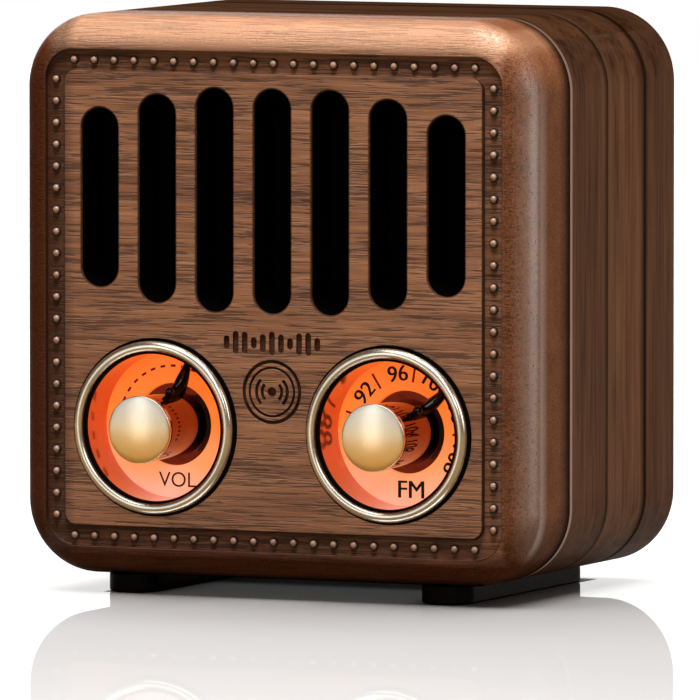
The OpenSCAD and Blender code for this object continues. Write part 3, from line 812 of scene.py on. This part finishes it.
def stave(name, side, front, back, rear_round, material, slot):
    """One stave of a ring: its section swept from mitre to mitre."""
    section = [(inset, front - drop) for inset, drop in quarter(EASE, 4)]
    section += [(inset, back + rise) for rise, inset in quarter(rear_round or EASE, 16 if rear_round else 4)]
    outer = [stave_path(side, WIDE, TALL, CORNER_R, inset) for inset, z in section]
    inner = stave_path(side, WIDE - 2 * WALL, TALL - 2 * WALL, INNER_R, 0)
    lines = []
    for k in range(len(inner)):
        ring = [(*outer[j][k], section[j][1]) for j in range(len(section))]
        ring += [(*inner[k], back), (*inner[k], front)]
        lines.append(ring)
    obj = piece(name, *loft(lines), material, slot=slot)
    flat_shading_kept(obj)
    return obj


def rings():
    # Each stave's tone is partly its board's own and partly painted light and shade for the side it faces
    board_tone_and_side_shade = {
        "ring_front": {"right": 0.70, "top": 1.0, "left": 0.8, "bottom": 0.75},
        "ring_middle": {"right": 0.88, "top": 0.78, "left": 0.95, "bottom": 0.8},
        "ring_rear": {"right": 0.62, "top": 0.66, "left": 0.75, "bottom": 0.8},
    }
    for number, (node, shades) in enumerate(board_tone_and_side_shade.items()):
        low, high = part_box(node)
        front, back = (FACE_Y - low[1]) / MM, (FACE_Y - high[1]) / MM
        for k, (side, tone) in enumerate(shades.items()):
            along = "X" if side in ("top", "bottom") else "Z"
            # Painted light and shade at each frame's front glue line, and painted crease shade at the rear
            # one of the first two
            seam_light_and_shade = [(low[1] / MM, 1, *FRONT_SEAM_LIGHT_AND_SHADE[number])]
            if number < 2:
                seam_light_and_shade.append((high[1] / MM, -1, 2.2, 0.95, SEAM_SHADE))
            wood = walnut(f"walnut_{node}_{side}", along, tone=tone, seed=3 + number * 4 + k, shine=0.50,
                          gloss=0.12 if side != "top" else 0.0, pores=0.12, fine=0.2, seam_light_and_shade=seam_light_and_shade)
            rear = REAR_ROUND if node == "ring_rear" else 0
            obj = stave(f"{node}_stave_{side}", side, front, back, rear, wood, f"walnut_{node}")
            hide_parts(node)


# ---------------------------------------------------------------------------
# Dials


def bezel(side, name):
    """A tube with a rolled lip."""
    mid = (DIAL_R + LIP_R) / 2
    half = (LIP_R - DIAL_R) / 2
    profile = [(TUBE_R, -FRONT_WALL), (TUBE_R, 0), (LIP_R - 0.1, 0), (LIP_R, 0.1)]
    profile += arc(mid, LIP_OUT - half, half, 0, 180, 24)
    profile += [(DIAL_R, -FRONT_WALL)]
    obj = piece(f"{name}_bezel_ring", *at_dial(lathe(profile, 160), side), MATERIALS["champagne_chrome"],
                slot="champagne_chrome", sharp=50)
    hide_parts(f"{name}_bezel")


def gasket():
    """A thin ring outside each bezel and a dark seal inside its lip."""
    outer = LIP_R + GASKET_W
    profile = [(LIP_R - 0.05, 0.0), (outer, 0.0), (outer, 0.3)]
    profile += arc(outer - 0.2, 0.3, 0.2, 0, 90, 4) + [(LIP_R - 0.05, 0.5)]
    seal = [(DIAL_R - 0.32, 0.35), (DIAL_R - 0.01, 0.35), (DIAL_R - 0.01, 1.1), (DIAL_R + 0.10, 1.42),
            (DIAL_R - 0.02, 1.48), (DIAL_R - 0.22, 1.36), (DIAL_R - 0.32, 1.1)]
    part = join([lathe(profile, 128), lathe(seal, 128)])
    obj = piece("dial_gasket_rings", *join([at_dial(part, side) for side in (-1, 1)]),
                MATERIALS["gasket_rubber"], slot="gasket_rubber")
    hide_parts("dial_gaskets")


def dial(side, name, marks):
    """The lit plate, the tinted wall around it and the print on it."""
    r = DIAL_R - 0.35
    profile = [(HOLE_R, PLATE_Z - PLATE_T), (r, PLATE_Z - PLATE_T), (r, PLATE_Z)]
    profile += arc(HOLE_R + 0.2, PLATE_Z - 0.2, 0.2, 90, 180, 5)
    plate = piece(f"{name}_dial_plate", *at_dial(lathe(profile, 128), side), MATERIALS["lit_plate"],
                  slot="lit_dial", sharp=50)
    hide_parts(f"{name}_dial")
    wall = [(DIAL_R - 0.02, PLATE_Z - PLATE_T), (DIAL_R - 0.02, 0.34), (DIAL_R - 0.3, 0.34),
            (DIAL_R - 0.3, PLATE_Z - PLATE_T)]
    piece(f"{name}_dial_wall", *at_dial(lathe(wall, 128), side), MATERIALS["lit_wall"], slot="lit_dial",
          sharp=40)
    for label, part, material in marks:
        piece(f"{name}_print_{label}", *at_dial(part, side, PLATE_Z + 0.01), material, slot="lit_dial")


# The height of a capital, in parts of the type's size
CAPITAL = 0.7


def words(text, size, bold=0.0):
    """Flat raised text, centred, as points and faces in millimetres. size is the height of a capital.

    Bold text is the same outline laid down three times, side by side.
    """
    curve = bpy.data.curves.new("words", "FONT")
    curve.body = text
    curve.align_x = "CENTER"
    curve.align_y = "CENTER"
    curve.size = size / CAPITAL
    curve.extrude = 0.015
    curve.resolution_u = 6
    obj = added("words", curve)
    graph = bpy.context.evaluated_depsgraph_get()
    mesh = bpy.data.meshes.new_from_object(obj.evaluated_get(graph))
    verts = [tuple(v.co) for v in mesh.vertices]
    faces = [tuple(f.vertices) for f in mesh.polygons]
    bpy.data.objects.remove(obj)
    bpy.data.meshes.remove(mesh)
    if bold:
        return join([moved((verts, faces), shift * bold, 0, 0.002 * shift) for shift in (-1, 0, 1)])
    return verts, faces


def plate_bar(w, length):
    """A flat raised dash, centred, with its length along y."""
    x, y, t = w / 2, length / 2, 0.02
    return loft([[(x, -y, z), (x, y, z), (-x, y, z), (-x, -y, z)] for z in (0, t)])


def on_ring(part, angle, r):
    """Places a part on a circle, upright towards the outside, clockwise from the top."""
    return moved(moved(part, y=r), turn=angle)


def volume_marks():
    dashes = [on_ring(moved(plate_bar(0.42, 0.95), turn=90), angle, 10.6) for angle in range(-121, 122, 11)]
    return [
        ("scale", join(dashes), MATERIALS["red_ink"]),
        ("word", moved(words("VOL", 2.7, 0.0), 0.85, -10.1), MATERIALS["brown_ink"]),
    ]


def tuning_marks():
    start, gap, r = -91.0, 41.2, 10.45
    numbers = []
    ticks = []
    for k, value in enumerate((88, 92, 96, 100, 104, 108)):
        numbers.append(on_ring(words(str(value), 2.85, 0.08), start + k * gap, r))
        if k < 5:
            ticks.append(on_ring(plate_bar(0.42, 3.1), start + (k + 0.42) * gap, r + 0.2))
    return [
        ("numbers", join(numbers), MATERIALS["black_ink"]),
        ("ticks", join(ticks), MATERIALS["red_ink"]),
        ("word", moved(words("FM", 3.15, 0.08), 1.05, -10.4), MATERIALS["black_ink"]),
    ]


def knob(side, name, rest):
    """The barrel with a groove behind its cap, the domed cap and the pointer. All turn with the control."""
    body = f"{name}_control"
    at = (side * DIAL_X, DIAL_Y)
    top = KNOB_OUT - CAP_T
    profile = [(3.1, PLATE_Z - PLATE_T - 0.6), (STEM_R - 0.3, PLATE_Z - PLATE_T - 0.6),
               (STEM_R, PLATE_Z - PLATE_T - 0.3), (STEM_R, top - 0.9)]
    profile += [(STEM_R - 0.25, top - 0.75), (STEM_R - 0.25, top - 0.3), (STEM_R, top - 0.15),
                (STEM_R, top), (3.1, top)]
    stem = piece(f"{name}_knob_stem", *moved(lathe(profile, 128), *at), MATERIALS["knob_metal"], body,
                 slot="knob_metal", sharp=40)
    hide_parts(f"{name}_knob")

    dome = 0.42
    profile = [(0.4, top), (CAP_R - 0.12, top)] + arc(CAP_R - 0.12, top + 0.12, 0.12, -90, 0, 4)
    profile += arc(CAP_R - 0.22, KNOB_OUT - dome - 0.22, 0.22, 0, 75, 6)
    for k in range(1, 13):
        r = (CAP_R - 0.3) * (1 - k / 13)
        profile.append((r, KNOB_OUT - dome * (r / CAP_R) ** 2))
    cap = piece(f"{name}_knob_face", *moved(lathe_solid(profile, 128), *at), MATERIALS["cap_metal"], body,
                slot="knob_cap_metal", sharp=50)
    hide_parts(f"{name}_knob_cap")
    pointer(name, body, at, rest)


def pointer(name, body, at, rest):
    """A black fin: sections along its length, each as wide and as high as the leaf is there."""
    leaf = [  # distance from the axis, half width, bottom, top
        (5.5, 0.80, -6.3, -0.6), (6.0, 0.98, -6.3, -0.8), (6.7, 1.08, -6.3, -2.0), (7.5, 1.12, -6.3, -3.3),
        (8.5, 1.08, -6.3, -4.0), (9.6, 0.95, -6.3, -4.5), (10.8, 0.78, -6.3, -4.9), (11.7, 0.60, -6.2, -5.2),
        (12.0, 0.48, -6.0, -5.4),
    ]
    sections = []
    for r, half, low, high in leaf:
        mid = (low + high) / 2
        outline = [(half, low + 0.15), (half * 0.7, low), (-half * 0.7, low), (-half, low + 0.15),
                   (-half, mid), (-half * 0.45, high), (half * 0.45, high), (half, mid)]
        sections.append([(x, r, z) for x, z in outline])
    knuckle = arc(0, -1.5, 0.85, -85, 85, 10)
    hub = Matrix.Translation((at[0] * MM, 0, MID_Z + at[1] * MM))
    turn = hub @ Matrix.Rotation(math.radians(rest), 4, "Y") @ hub.inverted()
    leaf_obj = piece(f"{name}_pointer_leaf", *moved(loft(sections), *at), MATERIALS["pointer_black"], body,
                     slot="pointer_black", sharp=30)
    soften(leaf_obj, 0.12, 3, 25)
    ridge = []
    for r, half, top in ((7.6, 0.25, -3.2), (8.1, 0.50, -3.5), (9.0, 0.52, -4.0), (10.0, 0.44, -4.4),
                         (10.9, 0.20, -4.8)):
        outline = [(half, top - 0.5), (-half, top - 0.5), (-half, top), (0, top + 0.18), (half, top)]
        ridge.append([(x, r, z) for x, z in outline])
    parts = join([moved(lathe_solid(knuckle, 24), y=6.7), loft(ridge)])
    knuckle_obj = piece(f"{name}_pointer_knuckle", *moved(parts, *at), MATERIALS["knuckle_black"], body,
                        slot="pointer_black", sharp=60)
    for obj in (leaf_obj, knuckle_obj):
        obj.data.transform(turn)
    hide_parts(f"{name}_pointer")


# ---------------------------------------------------------------------------
# Feet and grille cloth


def foot(node):
    low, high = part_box(node)
    w, h, deep = (high[0] - low[0]) / MM, (high[2] - low[2]) / MM, (high[1] - low[1]) / MM
    middle = ((low[0] + high[0]) / 2, (low[1] + high[1]) / 2, low[2])
    at = Matrix.Translation(middle) @ Matrix.Scale(MM, 4)
    rings = [stadium(w - less, deep - less, z) for less, z in (
        (1.0, 0.0), (0.3, 0.15), (0, 0.5), (0, h - 0.3), (0.15, h - 0.08), (0.5, h))]
    obj = piece(f"{node}_rail", *loft(rings), MATERIALS["foot_rubber"], slot="foot_rubber", sharp=50,
                to_world=at)
    wells = [moved(lathe_solid([(3.0, -1), (3.0, h - 1.4), (1.45, h - 1.4), (1.45, h + 1)], 40), y=side * 10)
             for side in (-1, 1)]
    cut(obj, [join(wells)], at)
    smooth(obj, 50)
    flat_shading_kept(obj)
    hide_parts(node)


def grille_cloth():
    """The cloth behind the slots, stretched on the baffle."""
    low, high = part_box("grille_cloth")
    w, h = (high[0] - low[0]) / MM, (high[2] - low[2]) / MM
    corner = 3.0
    rings = [rounded(w, h, corner, z - FRONT_WALL, 8) for z in (-0.3, -0.02)]
    obj = piece("grille_cloth_weave", *moved(loft(rings), y=GRILLE_Y), MATERIALS["black_cloth"],
                slot="black_cloth")
    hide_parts("grille_cloth")


# ---------------------------------------------------------------------------
# CAD nodes that stay, softened and with a finish of their own

METALS = {  # colour, roughness, how much scuffs change it, their scale, height of the scuffs
    "champagne_chrome": ((0.94, 0.90, 0.79), 0.21, 0.03, 0.15, 0.0006),
    # The knob barrel's red-brown is a painted reflection of the lit dial on bright metal
    "knob_metal": ((0.21, 0.062, 0.042), 0.06, 0.02, 0.3, 0.001),
    "black_screw": ((0.05, 0.05, 0.055), 0.35, 0.15),
    "zinc_screw": ((0.62, 0.63, 0.66), 0.28, 0.15),
    "zinc_plate": ((0.60, 0.61, 0.63), 0.33, 0.12),
    "copper_coil": ((0.75, 0.34, 0.18), 0.25),
    "brass_post": ((0.78, 0.58, 0.28), 0.25),
    "switch_steel": ((0.58, 0.58, 0.58), 0.3),
    "socket_steel": ((0.66, 0.66, 0.68), 0.25),
    "shaft_steel": ((0.62, 0.62, 0.62), 0.2),
    "pot_case": ((0.5, 0.5, 0.5), 0.35),
}

PLASTICS = {  # colour, roughness, height of the grain, its scale, weight of the gloss coat, specular level
    "gasket_rubber": ((0.0008, 0.0008, 0.0008), 0.6, 0.01, 3.0, 0.0, 0.06),
    "pointer_black": ((0.0015, 0.0012, 0.0012), 0.16, 0.002, 3.0, 0.0, 0.06),
    "knuckle_black": ((0.001, 0.001, 0.001), 0.08, 0.001),
    "foot_rubber": ((0.0012, 0.0012, 0.0011), 0.50, 0.02, 2.0, 0.0, 0.09),
    "rear_board": ((0.012, 0.012, 0.012), 0.50, 0.05, 1.6),
    "black_plastic": ((0.004, 0.004, 0.004), 0.55, 0.01, 3.0),
    "driver_steel": ((0.02, 0.02, 0.022), 0.35, 0.015, 2.5),
    "ferrite": ((0.03, 0.03, 0.032), 0.65, 0.04, 1.5),
    "surround_rubber": ((0.012, 0.012, 0.012), 0.48),
    "cone_paper": ((0.020, 0.020, 0.020), 0.75, 0.06, 1.2),
    "foam": ((0.02, 0.02, 0.02), 0.9, 0.15, 2.0),
    "tag_board": ((0.22, 0.11, 0.04), 0.6),
    "led": ((0.9, 0.6, 0.25), 0.25),
    "circuit_board": ((0.012, 0.085, 0.035), 0.25, 0.01, 1.0, 0.4),
    "white_board": ((0.75, 0.75, 0.72), 0.4),
    "chip_plastic": ((0.015, 0.015, 0.016), 0.55),
    "capacitor_sleeve": ((0.02, 0.03, 0.12), 0.3, 0.01, 3.0, 0.3),
    "battery_wrap": ((0.05, 0.14, 0.34), 0.22, 0.03, 0.6, 0.5),
    "wire_sleeve": ((0.35, 0.012, 0.010), 0.4),
}

MATERIALS = {name: metal(name, *look) for name, look in METALS.items()}
MATERIALS |= {name: plastic(name, *look) for name, look in PLASTICS.items()}
MATERIALS |= {
    "cap_metal": cap_metal("cap_metal"),
    "lit_plate": lit_plate("lit_plate"),
    "lit_wall": lit_wall("lit_wall"),
    "red_ink": ink("red_ink", (0.38, 0.008, 0.005)),
    "brown_ink": ink("brown_ink", (0.17, 0.040, 0.022)),
    "black_ink": ink("black_ink", (0.016, 0.008, 0.006)),
    "black_cloth": weave("black_cloth", (0.003, 0.003, 0.003)),
    "spider_cloth": weave("spider_cloth", (0.45, 0.28, 0.10), 0.9),
    "pine_block": walnut("pine_block", "Y", tone=2.0, seed=30, shine=0.6, red=0.7, pores=0.2),
}

PAINTED_LAMP_GLOW = {
    "volume_lamp_housing": lamp_housing("volume_lamp_glow", -1),
    "tuning_lamp_housing": lamp_housing("tuning_lamp_glow", 1),
}

BEVELS = {
    "rear_panel": 0.35, "rear_screws": 0.2, "foot_screws": 0.2, "aux_jack": 0.15, "charge_socket": 0.08,
    "mode_slider": 0.15, "card_reader": 0.08, "battery": 0.8, "speaker_magnet": 0.4, "speaker_yoke": 0.3,
    "board_chips": 0.1, "board_capacitors": 0.3,
}


def finish_cad_nodes():
    """Every CAD node that still shows takes the finish its record slot names; the lamp housings take a
    painted glow.
    """
    slots = {part["node"]: part["material_slot"] for part in frame["record"]["subparts"]}
    for node, obj in frame["nodes"].items():
        if obj.hide_render:
            continue
        for place in obj.material_slots:
            place.material = PAINTED_LAMP_GLOW.get(node) or MATERIALS[slots[node]]
        if node in BEVELS:
            weld = obj.modifiers.new("weld", "WELD")
            weld.merge_threshold = 5 * MICRON
            soften(obj, BEVELS[node], 2, 40)


# ---------------------------------------------------------------------------
# Floor, lights and camera

AMBIENT = (0.120, 0.095, 0.080, 1)

# The floor is a disc, and its polish grows towards the back. These sizes are in metres, but for the PLAIN
# ones in millimetres: a rectangle under the body has no polish. It reaches PLAIN_HALF to each side, and ends
# PLAIN_EDGE in from the front and the rear.
FLOOR_R = 1.9
FLOOR_SIDES = 96
FLOOR_TONE = (0.92, 0.92, 0.92)
BOUNCE_TONE = (0.34, 0.23, 0.10)
POLISH_FROM_TO = (-0.36, -0.03)
POLISH = (0.06, 0.40)
PLAIN_HALF = 35.7
PLAIN_EDGE = 5.0

# The camera's turn and tilt, and its place from the middle of the border, in stud pitches.
YAW = 24.067
TILT = 4.1045
AIM_DEPTH = 0.27
AIM_RIGHT = 3.4508
AIM_DOWN = 2.1312
AWAY = 607.17

# In plan, the way from a dial to what its flat faces mirror into the camera
MIRRORED = (-0.406, -0.911)


def floor():
    """A pale floor with a faint polish, but none under the body. It bounces less light than it shows."""
    mesh = bpy.data.meshes.new("floor")
    rim = arc(0, 0, FLOOR_R, 0, 360, FLOOR_SIDES)[:-1]
    mesh.from_pydata([(x, y, 0) for x, y in rim], [], [tuple(range(FLOOR_SIDES))])
    obj = added("floor", mesh)

    s = Shader("floor")
    s.tree.nodes.clear()
    axes = s.parts(s.add("ShaderNodeTexCoord").outputs["Object"])
    nearer = s.spread(axes["Y"], *POLISH_FROM_TO, *POLISH)
    beside = s.math("GREATER_THAN", s.math("ABSOLUTE", axes["X"]), PLAIN_HALF * MM)
    ahead = s.math("LESS_THAN", axes["Y"], FACE_Y + PLAIN_EDGE * MM)
    behind = s.math("GREATER_THAN", axes["Y"], REAR_Y - PLAIN_EDGE * MM)
    rays = s.add("ShaderNodeLightPath")
    plain = s.add("ShaderNodeBsdfDiffuse")
    s.put(s.mix(rays.outputs["Is Camera Ray"], BOUNCE_TONE, FLOOR_TONE), plain.inputs["Color"])
    gloss = s.add("ShaderNodeBsdfGlossy")
    gloss.inputs["Color"].default_value = (1, 1, 1, 1)
    gloss.inputs["Roughness"].default_value = 0.015
    mix = s.add("ShaderNodeMixShader")
    s.put(s.times(nearer, s.largest(beside, ahead, behind)), mix.inputs[0])
    s.put(plain.outputs[0], mix.inputs[1])
    s.put(gloss.outputs[0], mix.inputs[2])
    s.put(mix.outputs[0], s.add("ShaderNodeOutputMaterial").inputs[0])
    mesh.materials.append(s.material)


def linked(name, objects):
    """The objects that a light is limited to."""
    group = bpy.data.collections.new(name)
    for obj in objects:
        group.objects.link(bpy.data.objects[obj])
    return group


def area_light(name, place, target, size, power, colour=(1, 1, 1), only=None, shaded_by=None):
    light = bpy.data.lights.new(name, "AREA")
    light.shape = "RECTANGLE"
    light.size, light.size_y = size
    light.energy = power
    light.color = colour
    obj = added(name, light)
    obj.location = place
    obj.rotation_euler = (Vector(target) - Vector(place)).to_track_quat("-Z", "Y").to_euler()
    obj.visible_camera = False
    if only:
        obj.light_linking.receiver_collection = only
    if shaded_by:
        obj.light_linking.blocker_collection = shaded_by
    return obj


def toward(x, y, z, distance):
    """A point that far from the middle of the cabinet, in that direction."""
    return Vector((0, 0, MID_Z)) + distance * Vector((x, y, z)).normalized()


def card(name, at, away, width, height, level, only):
    """An upright card standing on the floor to the left of the camera, mirrored by the dial at that place."""
    x, y = at.x + MIRRORED[0] * away, at.y + MIRRORED[1] * away
    area_light(name, (x, y, height / 2 + MM), (at.x, at.y, height / 2 + MM), (width, height),
               level * math.pi * width * height, (1.0, 0.98, 0.94), only)


def studio():
    """Each light is linked to the pieces that it lights. The world is white to the camera alone."""
    world = bpy.data.worlds.new("studio")
    world.use_nodes = True
    tree = world.node_tree
    back = tree.nodes["Background"]
    rays = tree.nodes.new("ShaderNodeLightPath")
    tone = tree.nodes.new("ShaderNodeMix")
    tone.data_type = "RGBA"
    tone.inputs[6].default_value = AMBIENT
    tone.inputs[7].default_value = (1, 1, 1, 1)
    tree.links.new(rays.outputs["Is Camera Ray"], tone.inputs[0])
    tree.links.new(tone.outputs[2], back.inputs["Color"])
    bpy.context.scene.world = world

    middle = (0, 0, MID_Z)
    ground_only = linked("ground_only", ["floor"])
    radio = [obj.name for obj in bpy.data.objects if obj.type == "MESH" and obj.name != "floor"]
    radio_only = linked("radio_only", radio)
    face_only = linked("face_only", ["front_slab_carved", "band_studs_turned"])
    metals = linked("metals", [f"{name}_{part}" for name in ("volume", "tuning")
                               for part in ("bezel_ring", "knob_face", "knob_stem", "pointer_leaf")])

    lights = [  # name, direction, distance, size, power, colour, what it lights
        ("sky", (0.18, -0.20, 0.97), 0.8, (0.65, 0.35), 23.0, (1.0, 0.96, 0.92), face_only),
        ("key", (0.45, -0.80, 0.40), 1.3, (0.5, 0.5), 2.0, (1.0, 0.97, 0.93), radio_only),
        ("top_fill", (-0.2, 0.1, 0.95), 1.2, (0.6, 0.6), 2.0, (1.0, 0.96, 0.92), radio_only),
        ("right_strip", (0.96, 0.28, 0.05), 0.55, (0.34, 0.4), 0.8, (1, 1, 1), face_only),
        ("right_fill", (0.95, -0.1, 0.35), 1.2, (0.6, 0.6), 2.4, (1.0, 0.93, 0.86), radio_only),
        ("back_fill", (-0.6, 0.8, 0.30), 1.2, (0.6, 0.6), 4.0, (1, 1, 1), radio_only),
        ("metal_top", (0.12, -0.48, 0.85), 0.55, (0.6, 0.4), 1.5, (1.0, 0.98, 0.94), metals),
    ]
    for name, way, distance, size, power, colour, only in lights:
        shaded_by = face_only if name == "sky" else None
        area_light(name, toward(*way, distance), middle, size, power, colour, only, shaded_by)
    for name, side in (("volume", -1), ("tuning", 1)):
        at = Vector((side * DIAL_X * MM, FACE_Y - KNOB_OUT * MM, MID_Z + DIAL_Y * MM))
        own = linked(f"{name}_metal", [f"{name}_{part}" for part in (
            "bezel_ring", "knob_face", "pointer_leaf", "pointer_knuckle")])
        card(f"{name}_streak", at, 0.18, 0.028, 0.13, 0.85, own)
        card(f"{name}_soft", at, 0.34, 0.34, 0.20, 0.56, own)
        low = (at.x - 0.08, at.y - 0.17)
        area_light(f"{name}_glint", (*low, MM), (*low, 1), (0.25, 0.2), 0.045, (1.0, 0.66, 0.26),
                   linked(f"{name}_cap", [f"{name}_knob_face"]))
    under = (0, FACE_Y * 0.5)
    area_light("under_glow", (*under, 0.003), (*under, 0), (0.05, 0.03), 0.00022, only=ground_only)
    area_light("ground_box", (0, 0, 2.5), (0, 0, 0), (3.0, 3.0), 93.0, only=ground_only)
    area_light("backdrop", (-1.0, 2.2, 0.7), (0, 0, 0.3), (6.0, 2.0), 60.0, only=ground_only)
    bpy.context.scene.view_settings.view_transform = "Standard"


def camera():
    """Long lens, to the right of the object and a little above it."""
    unit = STUD_PITCH * MM
    yaw, pitch = math.radians(YAW), math.radians(TILT)
    ahead = Vector((-math.sin(yaw) * math.cos(pitch), math.cos(yaw) * math.cos(pitch), -math.sin(pitch)))
    right = Vector((math.cos(yaw), math.sin(yaw), 0))
    up = right.cross(ahead)
    border = Vector((0, FACE_Y + AIM_DEPTH * unit, MID_Z - BORDER_DROP * MM))
    place = border + unit * (AIM_RIGHT * right - AIM_DOWN * up - AWAY * ahead)
    data = bpy.data.cameras.new("camera")
    data.sensor_width = 36.0
    data.lens = 686.0
    data.clip_start = 0.1
    data.clip_end = 60.0
    obj = added("camera", data)
    obj.matrix_world = Matrix((
        (right.x, up.x, -ahead.x, place.x),
        (right.y, up.y, -ahead.y, place.y),
        (right.z, up.z, -ahead.z, place.z),
        (0, 0, 0, 1),
    ))
    bpy.context.scene.camera = obj


# ---------------------------------------------------------------------------

camera()
front_slab()
band_studs()
rings()
for side, name, rest, marks in ((-1, "volume", VOLUME_REST, volume_marks()),
                                (1, "tuning", TUNING_REST, tuning_marks())):
    bezel(side, name)
    dial(side, name, marks)
    knob(side, name, rest)
gasket()
foot("foot_left")
foot("foot_right")
grille_cloth()
finish_cad_nodes()
floor()
studio()
